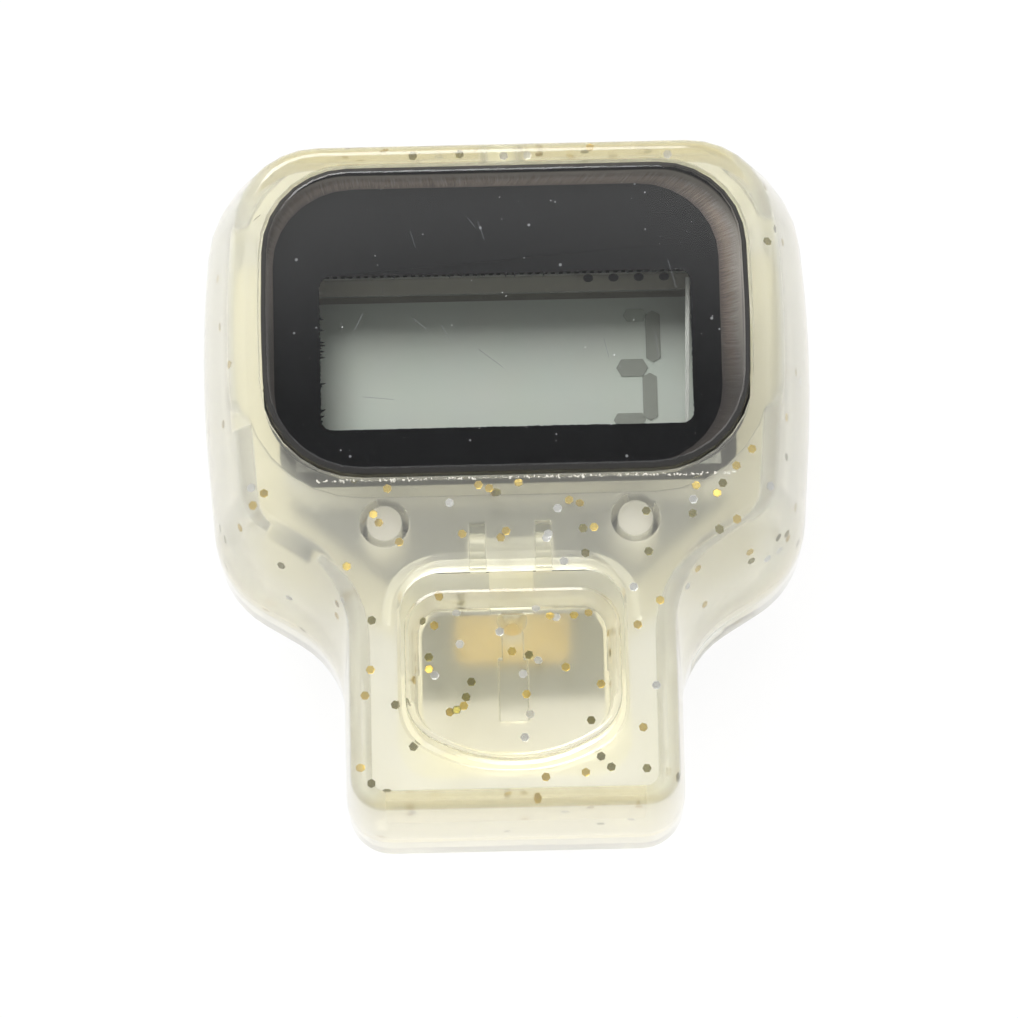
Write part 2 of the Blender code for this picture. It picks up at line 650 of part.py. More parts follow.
def build_screw(name, side, finish):
    shank = SCREW_DIAMETER / 2
    seat = SCREW_HEAD_DEPTH
    head = SCREW_HEAD_DIAMETER / 2
    tip = seat + SCREW_LENGTH
    profile = [(head * 0.8, seat - SCREW_HEAD_HEIGHT), (head, seat - SCREW_HEAD_HEIGHT * 0.6), (head, seat),
               (shank, seat), (shank, tip - shank), (shank * 0.3, tip)]
    return turned(name, profile, (side * SCREW_X, SCREW_Y), finish)


# Display

def build_lens(finish):
    bevel = LENS_EDGE_BEVEL
    top = LENS_BACK_Z + LENS_THICK
    return loft("display_lens", [(LENS_BACK_Z, lens_ring()), (top - bevel, lens_ring()),
                                 (top, lens_ring(bevel))], finish)


def build_mask(finish):
    middle = (MASK_OFFSET_X, (MASK_TOP_Y + MASK_LOW_Y) / 2)
    outline = rectangle(2 * MASK_HALF, MASK_TOP_Y - MASK_LOW_Y, MASK_RADIUS)
    mask = plate("window_mask", ring(outline, 0, middle), LEDGE_Z, LENS_BACK_Z, finish)
    hole = ring(rectangle(2 * WINDOW_HALF, WINDOW_HEIGHT, WINDOW_RADIUS), 0, (0, WINDOW_Y))
    cut(mask, plate("mask_window", hole, LEDGE_Z - CUT_PAST, LENS_BACK_Z + CUT_PAST))
    return mask


def build_display_cell(glass, film, mirror):
    half = GLASS_HALF
    film_half = half - POLARISER_INSET
    film_y = (GLASS_LOW_Y + POLARISER_INSET, GLASS_TOP_Y - POLARISER_TOP_INSET)
    rear_y = (GLASS_LOW_Y, GLASS_TOP_Y - GLASS_LEDGE)
    block("lcd_front_polariser", (-film_half, film_half), film_y, (GLASS_FRONT_Z, POLARISER_FRONT_Z), film)
    block("lcd_front_glass", (-half, half), (GLASS_LOW_Y, GLASS_TOP_Y), (CRYSTAL_Z, GLASS_FRONT_Z), glass)
    block("lcd_rear_glass", (-half, half), rear_y, (GLASS_REAR_Z, CRYSTAL_Z), glass)
    block("lcd_reflector", (-film_half, film_half), film_y, (REFLECTOR_Z, GLASS_REAR_Z), mirror)


def build_lcd_frame(finish):
    """The frame stands on the board, reaches up to the lens seat and carries the glass on a ledge."""
    half = GLASS_HALF + FRAME_GAP
    low = GLASS_LOW_Y - FRAME_GAP
    high = GLASS_TOP_Y + FRAME_GAP
    middle = (0.0, (low + high) / 2)
    outline = rectangle(2 * half, high - low, FRAME_RADIUS - FRAME_WALL)
    frame = plate("lcd_frame", ring(outline, -FRAME_WALL, middle), BOARD_Z, SEAT_Z, finish)
    ledge_half = GLASS_HALF - FRAME_LEDGE
    strip_half = GLASS_HALF - STRIP_END_INSET + FRAME_GAP
    strip_low = STRIP_LOW_Y - FRAME_GAP
    below = (BOARD_Z - CUT_PAST, REFLECTOR_Z + WELD)
    cut(frame,
        block("glass_pocket", (-half, half), (low, high), (REFLECTOR_Z, SEAT_Z + CUT_PAST)),
        block("frame_opening", (-ledge_half, ledge_half),
              (GLASS_LOW_Y + FRAME_LEDGE, strip_low - FRAME_WALL / 2), below),
        block("strip_slot", (-strip_half, strip_half), (strip_low, high), below))
    return frame


def build_connector_strip(finish):
    half = GLASS_HALF - STRIP_END_INSET
    return block("zebra_strip", (-half, half), (STRIP_LOW_Y, STRIP_TOP_Y), (BOARD_Z, CRYSTAL_Z), finish)


# Circuit board

def build_board(finish):
    """The board fills the head inside the lip and sends a tongue down behind the button."""
    top, side, shoulder, neck, _ = seam_corners()
    tongue = TONGUE_WIDTH / 2 + BOARD_INSET
    slope = (shoulder[1] - neck[1]) / (shoulder[0] - neck[0])
    neck_y = neck[1] + (tongue - neck[0]) * slope
    corners = [top, side, shoulder, (tongue, neck_y, TONGUE_RADIUS),
               (tongue, TONGUE_END_Y - BOARD_INSET, TONGUE_RADIUS + BOARD_INSET)]
    board = plate("circuit_board", ring(corners, BOARD_INSET), BOARD_LOW_Z, BOARD_Z, finish)
    low, high = BOARD_LOW_Z - CUT_PAST, BOARD_Z + CUT_PAST
    cut(board,
        rods("pin_holes", PIN_DIAMETER / 2 + PIN_GAP, both_sides(POST_X, POST_Y, low, high)),
        rods("boss_notches", SCREW_TUBE_RADIUS + BOARD_GAP, both_sides(SCREW_X, SCREW_Y, low, high)))
    return board


def build_chips(epoxy, ceramic, carbon):
    centre = (BLOB_X, WINDOW_Y)
    steps = [math.pi / 2 * i / 5 for i in range(5)]
    dome = [(BLOB_RADIUS * math.cos(a), BOARD_Z + BLOB_HEIGHT * math.sin(a)) for a in steps]
    turned("chip_blob", dome, centre, epoxy)
    for name, size, row, finish in (("chip_capacitor", CAPACITOR_SIZE, 0, ceramic),
                                    ("chip_resistor", RESISTOR_SIZE, 1, carbon)):
        y = centre[1] - row * CHIP_PITCH
        chip = block(name, (CHIP_X - size[0] / 2, CHIP_X + size[0] / 2), (y - size[1] / 2, y + size[1] / 2),
                     (BOARD_Z, BOARD_Z + size[2]), finish)
        round_edges(chip, size[2] * 0.1, 1)


# Button cell and contacts

def build_cell(finish):
    edge = CELL_CAP_HEIGHT / 2
    radius = CELL_DIAMETER / 2
    shoulder = BACK_WALL + CELL_HEIGHT - CELL_CAP_HEIGHT
    cap = radius - CELL_CAP_MARGIN
    profile = [(radius - edge, BACK_WALL), (radius, BACK_WALL + edge), (radius, shoulder - edge),
               (radius - edge, shoulder), (cap, shoulder), (cap - edge, shoulder + CELL_CAP_HEIGHT)]
    return turned("button_cell", profile, (0, CELL_Y), finish)


def build_cell_contacts(finish):
    """A leaf that presses the cap, and a clip beside the can; both hang under the board."""
    seat = BOARD_LOW_Z
    cap = BACK_WALL + CELL_HEIGHT + CONTACT_GAP
    root = CELL_Y + CONTACT_WIDTH
    bend = CELL_Y + CONTACT_WIDTH / 2
    tip = CELL_Y - CONTACT_WIDTH / 2
    thick = CONTACT_THICK
    leaf = [(root, seat), (bend, seat), (CELL_Y, cap + thick), (tip, cap + 2 * thick),
            (tip, cap + thick), (CELL_Y, cap), (bend, seat - thick), (root, seat - thick)]
    strip("cell_contact_negative", leaf, CONTACT_WIDTH, finish)

    near = CELL_DIAMETER / 2 + CELL_GAP
    y = (CELL_Y - CONTACT_WIDTH / 2, CELL_Y + CONTACT_WIDTH / 2)
    clip = block("cell_contact_positive", (near, near + CONTACT_FOOT), y, (seat - thick, seat), finish)
    low = BACK_WALL + CELL_RING_HEIGHT / 2
    join(clip, block("clip_leg", (near, near + thick), y, (low, seat - thick / 2)))
    return clip


# Thumb button

def build_count_button(finish):
    """A dished cap on an arm. Its cross-bar turns in the two saddles and its plunger meets the dome."""
    low = BUTTON_UNDER_Z
    soft = BUTTON_RIM_ROUND
    wall_inset = BUTTON_RIM + BUTTON_DISH_SLOPE / 2
    wall_shift = (BUTTON_RIM_SHIFT + BUTTON_DISH_SHIFT) / 2
    cap = [(low, button_ring(BUTTON_SKIRT / 2)), (low + BUTTON_SKIRT, button_ring()),
           (BUTTON_Z - 2 * soft, button_ring()), (BUTTON_Z - soft / 2, button_ring(soft / 2)),
           (BUTTON_Z, button_ring(2 * soft)),
           (BUTTON_Z - soft / 2, button_ring(BUTTON_RIM, BUTTON_RIM_SHIFT)),
           (BUTTON_FLOOR_Z + 2 * soft, button_ring(wall_inset, wall_shift)),
           (BUTTON_FLOOR_Z, button_ring(BUTTON_RIM + BUTTON_DISH_SLOPE, BUTTON_DISH_SHIFT))]
    button = loft("count_button", cap, finish)

    stop_top = BUTTON_LOW_Y + END_RISE + END_CORNER_RADIUS + STOP_REACH
    stop = ring(thumb_corners(BUTTON_HALF + STOP_REACH, stop_top, BUTTON_LOW_Y - STOP_REACH, STOP_REACH))
    arm_low = PIVOT_Z - ARM_THICK / 2
    rib_top = BUTTON_TOP_Y - BUTTON_SKIRT
    rib_tip = BUTTON_LOW_Y + RIB_FROM_FOOT
    rib_wide_y = rib_tip + RIB_WIDE_LENGTH
    rib_low = low - RIB_DEPTH
    join(button,
         plate("stop_lip", stop, low, low + STOP_THICK),
         block("arm", (-ARM_WIDTH / 2, ARM_WIDTH / 2), (rib_top - BUTTON_SKIRT, PIVOT_Y),
               (arm_low, arm_low + ARM_THICK)),
         block("rib", (-RIB_WIDTH / 2, RIB_WIDTH / 2), (rib_tip + WELD, rib_top), (rib_low, low + WELD)),
         block("rib_wide", (-RIB_WIDE_WIDTH / 2, RIB_WIDE_WIDTH / 2), (rib_tip, rib_wide_y),
               (rib_low, low + WELD)))

    half = PIVOT_WIDTH / 2
    across = [((-half, PIVOT_Y, PIVOT_Z), (half, PIVOT_Y, PIVOT_Z))]
    join(button, rods("cross_bar", PIVOT_DIAMETER / 2, across))
    bm = bmesh.new()
    add_rod(bm, PLUNGER_ROOT_DIAMETER / 2, (0, PLUNGER_Y, low + WELD),
            (0, PLUNGER_Y, FILM_TOP_Z + PLUNGER_GAP), PLUNGER_DIAMETER / 2)
    join(button, add_object("plunger", bm))

    pivot = bpy.data.objects.new("button_pivot", None)
    pivot.location = (0, PIVOT_Y, PIVOT_Z)
    bpy.context.scene.collection.objects.link(pivot)
    bpy.context.view_layer.update()
    button.parent = pivot
    button.matrix_parent_inverse = pivot.matrix_world.inverted()
    return button


def build_dome(finish):
    """An oblong dome of sheet metal, open below."""
    def swell(share, drop):
        outline = rectangle(DOME_LENGTH - 2 * drop, DOME_WIDTH - 2 * drop, DOME_WIDTH / 2 - drop)
        inset = (DOME_WIDTH / 2 - drop) * (1 - math.cos(share * math.pi / 2)) * 0.8
        height = (DOME_HEIGHT - drop) * math.sin(share * math.pi / 2)
        return BOARD_Z + height, ring(outline, inset, (0, DOME_Y))

    shares = (0.0, 0.35, 0.7, 1.0)
    inner = [swell(share, DOME_THICK) for share in reversed(shares)]
    outer = [swell(share, 0.0) for share in shares]
    return loft("snap_dome", inner + outer, finish)


def build_dome_film(finish):
    """The film lies on the board and rises over the dome."""
    middle = (0, DOME_Y)
    top = BOARD_Z + FILM_THICK
    sheet = rectangle(FILM_LENGTH, FILM_WIDTH, DOME_WIDTH / 4)
    over = rectangle(DOME_LENGTH + 2 * FILM_GAP, DOME_WIDTH + 2 * FILM_GAP, DOME_WIDTH / 2)
    crown = DOME_WIDTH / 2 * 0.8
    rings = [(BOARD_Z + DOME_HEIGHT + FILM_GAP, ring(over, crown, middle)),
             (BOARD_Z + DOME_HEIGHT + FILM_GAP, ring(over, crown * 0.4, middle)),
             (BOARD_Z, ring(over, 0, middle)),
             (BOARD_Z, ring(sheet, 0, middle)),
             (top, ring(sheet, 0, middle)),
             (top, ring(over, -FILM_THICK, middle)),
             (FILM_TOP_Z, ring(over, crown * 0.4 - FILM_THICK, middle)),
             (FILM_TOP_Z, ring(over, crown, middle))]
    return loft("dome_film", rings, finish)


# Reset button

def build_reset(button_finish, body_finish, stem_finish):
    """The cap slides in the top wall and pushes the stem of a switch that lies on the board."""
    start = RESET_FLANGE_Y - RESET_FLANGE_THICK
    end = TOP_Y - RESET_SUNK
    cap = rods("reset_button", RESET_DIAMETER / 2, [((0, start, RESET_Z), (0, end, RESET_Z))], button_finish)
    join(cap, rods("reset_flange", RESET_FLANGE_DIAMETER / 2,
                   [((0, start, RESET_Z), (0, RESET_FLANGE_Y, RESET_Z))]))

    stem_end = start - SWITCH_GAP
    face = stem_end - SWITCH_STEM_OUT
    width, depth, height = SWITCH_SIZE
    body = block("reset_switch_body", (-width / 2, width / 2), (face - depth, face),
                 (BOARD_Z, BOARD_Z + height), body_finish)
    stem_x, stem_y, stem_z = (size / 2 for size in SWITCH_STEM_SIZE)
    cut(body, block("stem_pocket", (-stem_x - SWITCH_GAP, stem_x + SWITCH_GAP),
                    (face - SWITCH_POCKET, face + CUT_PAST),
                    (RESET_Z - stem_z - SWITCH_GAP, RESET_Z + stem_z + SWITCH_GAP)))
    stem = block("reset_switch_stem", (-stem_x, stem_x), (stem_end - 2 * stem_y, stem_end),
                 (RESET_Z - stem_z, RESET_Z + stem_z), stem_finish)
    for piece in (cap, stem):
        set_origin(piece, (0, RESET_FLANGE_Y, RESET_Z))


def build_counter():
    clear_scene()
    shell = material("glitter_plastic", (0.90, 0.87, 0.74), 0.25, transmission=0.8)
    clear = material("clear_acrylic", (0.95, 0.95, 0.93), 0.08, transmission=1.0)
    button = material("button_plastic", (0.88, 0.86, 0.74), 0.2, transmission=0.8)
    glass = material("display_glass", (0.80, 0.85, 0.82), 0.05, transmission=0.9)
    film = material("polariser_film", (0.55, 0.60, 0.56), 0.3)
    mirror = material("reflector_film", (0.42, 0.47, 0.43), 0.45)
    mask = material("black_print", (0.02, 0.02, 0.025), 0.4)
    frame = material("white_plastic", (0.80, 0.80, 0.76), 0.5)
    rubber = material("zebra_silicone", (0.30, 0.30, 0.32), 0.7)
    board = material("solder_mask", (0.03, 0.07, 0.08), 0.35)
    epoxy = material("black_epoxy", (0.02, 0.02, 0.02), 0.3)
    ceramic = material("capacitor_ceramic", (0.45, 0.33, 0.20), 0.5)
    carbon = material("resistor_glaze", (0.05, 0.05, 0.05), 0.4)
    steel = material("nickel_steel", (0.60, 0.59, 0.56), 0.25, metallic=1.0)
    spring = material("spring_steel", (0.62, 0.60, 0.55), 0.3, metallic=1.0)
    dome = material("dome_steel", (0.66, 0.65, 0.62), 0.2, metallic=1.0)
    amber = material("amber_film", (0.72, 0.45, 0.13), 0.35)
    screw = material("zinc_steel", (0.55, 0.55, 0.53), 0.35, metallic=1.0)
    switch = material("switch_nylon", (0.03, 0.03, 0.03), 0.5)
    stem = material("stem_nylon", (0.75, 0.74, 0.70), 0.5)

    build_front_shell(shell)
    build_back_shell(shell)
    build_lens(clear)
    build_mask(mask)
    build_display_cell(glass, film, mirror)
    build_lcd_frame(frame)
    build_connector_strip(rubber)
    build_board(board)
    build_chips(epoxy, ceramic, carbon)
    build_cell(steel)
    build_cell_contacts(spring)
    build_count_button(button)
    build_dome(dome)
    build_dome_film(amber)
    build_reset(button, switch, stem)
    build_screw("shell_screw_left", -1, screw)
    build_screw("shell_screw_right", 1, screw)


build_counter()
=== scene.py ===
# %% [markdown]
# # A clear finger counter with glitter
# The counter is a small moulded housing in two halves. Through its hazy plastic one sees the circuit
# board, and through a black-edged window the liquid crystal display. A thumb button on the stem counts.
# The engineering model gives every piece its size and place. This lesson gives them their surfaces.

# %% Load the fixed frame
import json
import math
import random
from contextlib import contextmanager

import bpy
from mathutils import Matrix, Vector
from mathutils.bvhtree import BVHTree

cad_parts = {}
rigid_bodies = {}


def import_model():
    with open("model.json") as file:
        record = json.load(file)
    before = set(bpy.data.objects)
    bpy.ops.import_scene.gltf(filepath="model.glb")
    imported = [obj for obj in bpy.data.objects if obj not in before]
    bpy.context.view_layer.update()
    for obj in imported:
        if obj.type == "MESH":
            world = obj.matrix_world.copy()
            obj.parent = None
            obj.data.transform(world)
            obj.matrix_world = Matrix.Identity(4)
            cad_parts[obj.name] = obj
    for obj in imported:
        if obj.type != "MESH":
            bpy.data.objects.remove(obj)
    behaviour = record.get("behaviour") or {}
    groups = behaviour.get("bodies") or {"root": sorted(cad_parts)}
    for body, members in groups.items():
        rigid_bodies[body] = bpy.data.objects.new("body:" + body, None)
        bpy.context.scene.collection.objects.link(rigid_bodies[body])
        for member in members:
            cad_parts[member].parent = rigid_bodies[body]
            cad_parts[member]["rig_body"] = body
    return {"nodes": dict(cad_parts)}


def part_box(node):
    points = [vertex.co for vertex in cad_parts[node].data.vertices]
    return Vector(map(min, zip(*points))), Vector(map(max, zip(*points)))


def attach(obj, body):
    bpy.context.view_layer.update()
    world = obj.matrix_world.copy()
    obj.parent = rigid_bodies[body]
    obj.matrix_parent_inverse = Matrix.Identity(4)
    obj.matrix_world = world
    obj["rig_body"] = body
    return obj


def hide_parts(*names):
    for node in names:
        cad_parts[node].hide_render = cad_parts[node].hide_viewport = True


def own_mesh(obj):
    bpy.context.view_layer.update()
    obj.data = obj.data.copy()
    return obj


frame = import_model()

MM = 0.001
scene = bpy.context.scene
nodes = frame["nodes"]
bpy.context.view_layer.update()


def mm(*place):
    """A place or a size that is given in millimetres."""
    return Vector(place) * MM


# %% [markdown]
# ## Camera
# The picture looks down on the counter's face, leaning 12 degrees towards the foot, from about 300 mm.
# Its scale is 20 pixels to a millimetre at the face. Those three numbers give the focal length: a sensor
# as wide as the picture sees 1018 pixels, so the lens is to the sensor as the distance is to the view.

# %% Camera at the picture's angle
PICTURE_SIDE = 1018
PIXELS_PER_MM = 20.0
CAMERA_DISTANCE = 300 * MM
CAMERA_LEAN = math.radians(12)
CAMERA_ROLL = math.radians(1.3)
NEAR_CLIP = 10 * MM
SENSOR = 36.0
AIM = mm(-0.03, -2.015, 13.0)

back = Vector((0, -math.sin(CAMERA_LEAN), math.cos(CAMERA_LEAN)))
right = Vector((1, 0, 0))
up = back.cross(right)
image_right = right * math.cos(CAMERA_ROLL) - up * math.sin(CAMERA_ROLL)
image_up = up * math.cos(CAMERA_ROLL) + right * math.sin(CAMERA_ROLL)

camera_data = bpy.data.cameras.new("camera")
camera_data.sensor_width = SENSOR
camera_data.lens = SENSOR * CAMERA_DISTANCE / MM * PIXELS_PER_MM / PICTURE_SIDE
camera_data.clip_start = NEAR_CLIP
camera = bpy.data.objects.new("camera", camera_data)
scene.collection.objects.link(camera)
turn = Matrix((image_right, image_up, back)).transposed().to_4x4()
camera.matrix_world = Matrix.Translation(AIM + back * CAMERA_DISTANCE) @ turn
scene.camera = camera
print("lens", round(camera_data.lens, 1), "mm")

# %% [markdown]
# ## Helpers
# A colour is written the way a paint shop writes it, as a hex code, and turned to the linear values that
# a renderer adds up. One function adds a node, with its settings and links, so a material reads as a list.

# %% Colours and nodes
def colour(code):
    """Linear RGBA of an sRGB hex code."""
    parts = [int(code[i:i + 2], 16) / 255 for i in (0, 2, 4)]
    linear = [c / 12.92 if c <= 0.04045 else ((c + 0.055) / 1.055) ** 2.4 for c in parts]
    return (*linear, 1.0)


def node(tree, kind, settings):
    """Adds a node. A setting is a property or an input; an input may be given another node's output."""
    made = tree.nodes.new("ShaderNode" + kind)
    for key, value in settings.items():
        if isinstance(key, str) and hasattr(made, key):
            setattr(made, key, value)
        elif isinstance(value, bpy.types.NodeSocket):
            tree.links.new(value, made.inputs[key])
        else:
            made.inputs[key].default_value = value
    return made


def empty_material(name):
    """A new material whose node tree is bare, and that tree."""
    made = bpy.data.materials.new(name)
    made.use_nodes = True
    made.node_tree.nodes.clear()
    return made, made.node_tree


def dress(piece, *finishes):
    """Gives a piece, or the CAD node of that name, its finishes."""
    mesh = (nodes[piece] if isinstance(piece, str) else piece).data
    mesh.materials.clear()
    for finish in finishes:
        mesh.materials.append(finish)


# %% [markdown]
# Operators work on what is selected, so a piece is made the only selected one before it is touched, and
# edit mode starts with all or nothing selected, or with what was picked before. What a piece was given
# as modifiers is applied, and a finished piece has its place in its mesh.

# %% Selecting and shaping
EDGE_ANGLE = math.radians(38)
SMOOTH_ANGLE = math.radians(35)


def only(piece):
    bpy.ops.object.select_all(action="DESELECT")
    piece.select_set(True)
    bpy.context.view_layer.objects.active = piece
    return piece


@contextmanager
def editing(select=None):
    """Edit mode, with SELECT or DESELECT done first, or the selection as it is."""
    bpy.ops.object.mode_set(mode="EDIT")
    if select:
        bpy.ops.mesh.select_all(action=select)
    yield
    bpy.ops.object.mode_set(mode="OBJECT")


def add_modifier(piece, kind, **settings):
    step = piece.modifiers.new(kind.lower(), kind)
    for key, value in settings.items():
        setattr(step, key, value)


def add_round(piece, width, **settings):
    """A round on every sharp edge."""
    add_modifier(piece, "BEVEL", width=width, segments=2, limit_method="ANGLE", angle_limit=EDGE_ANGLE,
                 **settings)


def apply_modifiers(piece):
    only(piece)
    for name in [m.name for m in piece.modifiers]:
        bpy.ops.object.modifier_apply(modifier=name)


def settle(piece, name, body="housing"):
    """Names a finished piece, puts its place into its mesh and ties it to a body."""
    piece.name = name
    piece.data.name = name
    only(piece)
    bpy.ops.object.transform_apply(location=True, rotation=True, scale=True)
    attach(piece, body)
    print(name, len(piece.data.polygons), "faces")
    return piece


# %% [markdown]
# The frame's meshes are loose triangles. A copy merges them, and dissolves the triangles of each flat
# face into one. Turned pieces also get a real round on their edges, which catches the light, and weighted
# normals keep the flat faces beside it flat. Light can't tell two clear faces in one place apart and is
# caught between them, so a clear copy that touches another is smaller by a thousandth.

# %% Copies of the frame's pieces
MERGE = 0.004 * MM
FLAT_ANGLE = math.radians(0.5)
FULL_WEIGHT = 100
HAIR = 0.999


def merged_copy(node_name, name, edge_round=0.0, smooth=SMOOTH_ANGLE, shrink=1.0):
    """A merged copy of a CAD node that stands for the node."""
    source = nodes[node_name]
    made = bpy.data.objects.new(name, source.data.copy())
    scene.collection.objects.link(made)
    only(made)
    with editing("SELECT"):
        bpy.ops.mesh.remove_doubles(threshold=MERGE)
        bpy.ops.mesh.dissolve_limited(angle_limit=FLAT_ANGLE)
    low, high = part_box(node_name)
    centre = Matrix.Translation((low + high) / 2)
    made.data.transform(centre @ Matrix.Scale(shrink, 4) @ centre.inverted())
    if edge_round:
        add_round(made, edge_round, use_clamp_overlap=False)
    bpy.ops.object.shade_smooth_by_angle(angle=smooth)
    add_modifier(made, "WEIGHTED_NORMAL", keep_sharp=True, weight=FULL_WEIGHT)
    apply_modifiers(made)
    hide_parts(node_name)
    return settle(made, name, source["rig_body"])


# %% [markdown]
# ## Clear plastic
# The housing is moulded from a clear styrene plastic that has yellowed a little and is milky throughout.
# A scattering volume would render slowly, so here each surface scatters some of the light back as haze,
# spreads some of it onwards (glow), and lets the rest through. Light runs a long way inside an upright
# wall, so upright faces and the rims over both end walls are yellower. Moulded edges are a little round.
# The shading rounds them, and the meshes stay sharp.

# %% Housing plastic
CLOUD_WHITE = "FFFEF8"
LETS_LIGHT_BY = "FEFEFC"
UPRIGHT = (0.3, 0.1)
TOP_WALL = (15.7 * MM, 16.3 * MM)
FOOT_WALL = (-16.2 * MM, -16.8 * MM)
MOULD_ROUND = 0.12 * MM
SINK_WAVE = 5.0 * MM
SINK_DEPTH = 0.02 * MM


def clear(tree, shader, lets_by):
    """Ends a clear tree. Lamps shine straight through it, tinted, so it casts no dark shadow."""
    path = node(tree, "LightPath", {})
    through = node(tree, "BsdfTransparent", {"Color": colour(lets_by)})
    swap = node(tree, "MixShader", {0: path.outputs["Is Shadow Ray"], 1: shader.outputs[0],
                                    2: through.outputs[0]})
    node(tree, "OutputMaterial", {"Surface": swap.outputs[0]})


def clear_plastic(name, base, upright_base, roughness, haze, glow, coat=0.8, index=1.5):
    """Hazy clear plastic, polished where it has a coat."""
    made, tree = empty_material("clear_styrene_" + name)
    place = node(tree, "TexCoord", {})
    sink = node(tree, "TexNoise", {"Vector": place.outputs["Object"], "Scale": 1 / SINK_WAVE, "Detail": 2.0})
    faces = node(tree, "NewGeometry", {})
    facing = node(tree, "SeparateXYZ", {0: faces.outputs["Normal"]})
    level = node(tree, "Math", {"operation": "ABSOLUTE", 0: facing.outputs[2]})
    upright = node(tree, "MapRange", {0: level.outputs[0], 1: UPRIGHT[0], 2: UPRIGHT[1]})
    spot = node(tree, "SeparateXYZ", {0: place.outputs["Object"]})
    top_wall = node(tree, "MapRange", {0: spot.outputs[1], 1: TOP_WALL[0], 2: TOP_WALL[1]})
    foot_wall = node(tree, "MapRange", {0: spot.outputs[1], 1: FOOT_WALL[0], 2: FOOT_WALL[1]})
    either_end = node(tree, "Math", {"operation": "MAXIMUM", 0: top_wall.outputs[0], 1: foot_wall.outputs[0]})
    yellower = node(tree, "Math", {"operation": "MAXIMUM", 0: upright.outputs[0], 1: either_end.outputs[0]})
    clouded = node(tree, "Mix", {"data_type": "RGBA", 0: sink.outputs["Fac"], 6: colour(base),
                                 7: colour(CLOUD_WHITE)})
    milk = node(tree, "Mix", {"data_type": "RGBA", 0: yellower.outputs[0], 6: clouded.outputs[2],
                              7: colour(upright_base)})
    soft_edge = node(tree, "Bevel", {"samples": 4, "Radius": MOULD_ROUND})
    wave = node(tree, "Bump", {"Strength": 0.25, "Distance": SINK_DEPTH, "Height": sink.outputs["Fac"],
                               "Normal": soft_edge.outputs[0]})
    plastic = node(tree, "BsdfPrincipled", {
        "Base Color": milk.outputs[2], "Roughness": roughness, "IOR": index, "Transmission Weight": 1 - haze,
        "Coat Weight": coat, "Coat Roughness": 0.05, "Normal": wave.outputs[0]})
    spread = node(tree, "BsdfTranslucent", {"Color": milk.outputs[2]})
    milky = node(tree, "MixShader", {0: glow, 1: plastic.outputs[0], 2: spread.outputs[0]})
    clear(tree, milky, LETS_LIGHT_BY)
    return made


def even_plastic(name, base, **settings):
    """Clear plastic without a polish, whose upright faces are no yellower."""
    return clear_plastic(name, base, base, coat=0.0, **settings)


polished = clear_plastic("polished", "FCFBEF", "F2EBCC", roughness=0.18, haze=0.12, glow=0.05)
rear_polished = clear_plastic("rear_polished", "FDFCF2", "E8DFB9", roughness=0.1, haze=0.08, glow=0.04)
satin = even_plastic("satin", "FCFAEA", roughness=0.3, haze=0.16, glow=0.1)
rear_satin = even_plastic("rear_satin", "FDFBEE", roughness=0.3, haze=0.12, glow=0.06)
greased = even_plastic("greased", "FCFAEA", roughness=0.4, haze=0.16, glow=0.1, index=1.04)

# %% [markdown]
# A mould is polished where its surface shows and left dull elsewhere. A ray from each face tells which
# it is: it gets away from an outer face, and it hits some part of the closed housing from an inner one.

# %% Housing halves
RAY_START = 0.01 * MM


def surface_tree(piece):
    """The piece's surface, to cast rays at."""
    mesh = piece.data
    return BVHTree.FromPolygons([v.co for v in mesh.vertices], [p.vertices[:] for p in mesh.polygons])


def polish_outside(piece, housing, outside, inside):
    """Gives one finish to the faces that look straight out of the closed housing, and one to the rest."""
    dress(piece, outside, inside)
    for face in piece.data.polygons:
        start = face.center + face.normal * RAY_START
        face.material_index = int(any(tree.ray_cast(start, face.normal)[0] for tree in housing))


def refinish(piece, finish, wanted):
    """Gives one more finish to the faces that pass a test."""
    piece.data.materials.append(finish)
    chosen = [face for face in piece.data.polygons if wanted(face)]
    for face in chosen:
        face.material_index = len(piece.data.materials) - 1
    print(finish.name, "on", len(chosen), "faces of", piece.name)


front = merged_copy("front_shell", "front_housing")
rear = merged_copy("back_shell", "back_housing", shrink=HAIR)
closed_housing = [surface_tree(front), surface_tree(rear)]
polish_outside(front, closed_housing, polished, satin)
polish_outside(rear, closed_housing, rear_polished, rear_satin)

# %% [markdown]
# Two pins of the rear half end inside two tubes of the front half. The pins' ends are rough from the
# gate and look pinkish. The tubes were bored in the mould, and the boring left them frosted. The
# button's axle snaps into two saddles under the face. They are greased, and grease bends light nearly as
# the plastic does, so from above their upright walls hardly show.

# %% Pin ends, tubes and saddles
PIN_PLACE = mm(6.3, -2.4)
PIN_REACH = 1.4 * MM
PIN_END_LEVELS = (9 * MM, 12 * MM)
TUBE_LEVELS = (5 * MM, 11.7 * MM)
SADDLE_LOW, SADDLE_HIGH = mm(1.1, -5.0, 10.0), mm(2.2, -2.2, 11.9)
LYING = 0.9


def near_pin(face, low_z, high_z):
    aside = Vector((abs(face.center.x), face.center.y)) - PIN_PLACE
    return aside.length < PIN_REACH and low_z < face.center.z < high_z


def on_saddle(face):
    spot = Vector((abs(face.center.x), face.center.y, face.center.z))
    return all(SADDLE_LOW[i] < spot[i] < SADDLE_HIGH[i] for i in range(3)) and abs(face.normal.z) < LYING


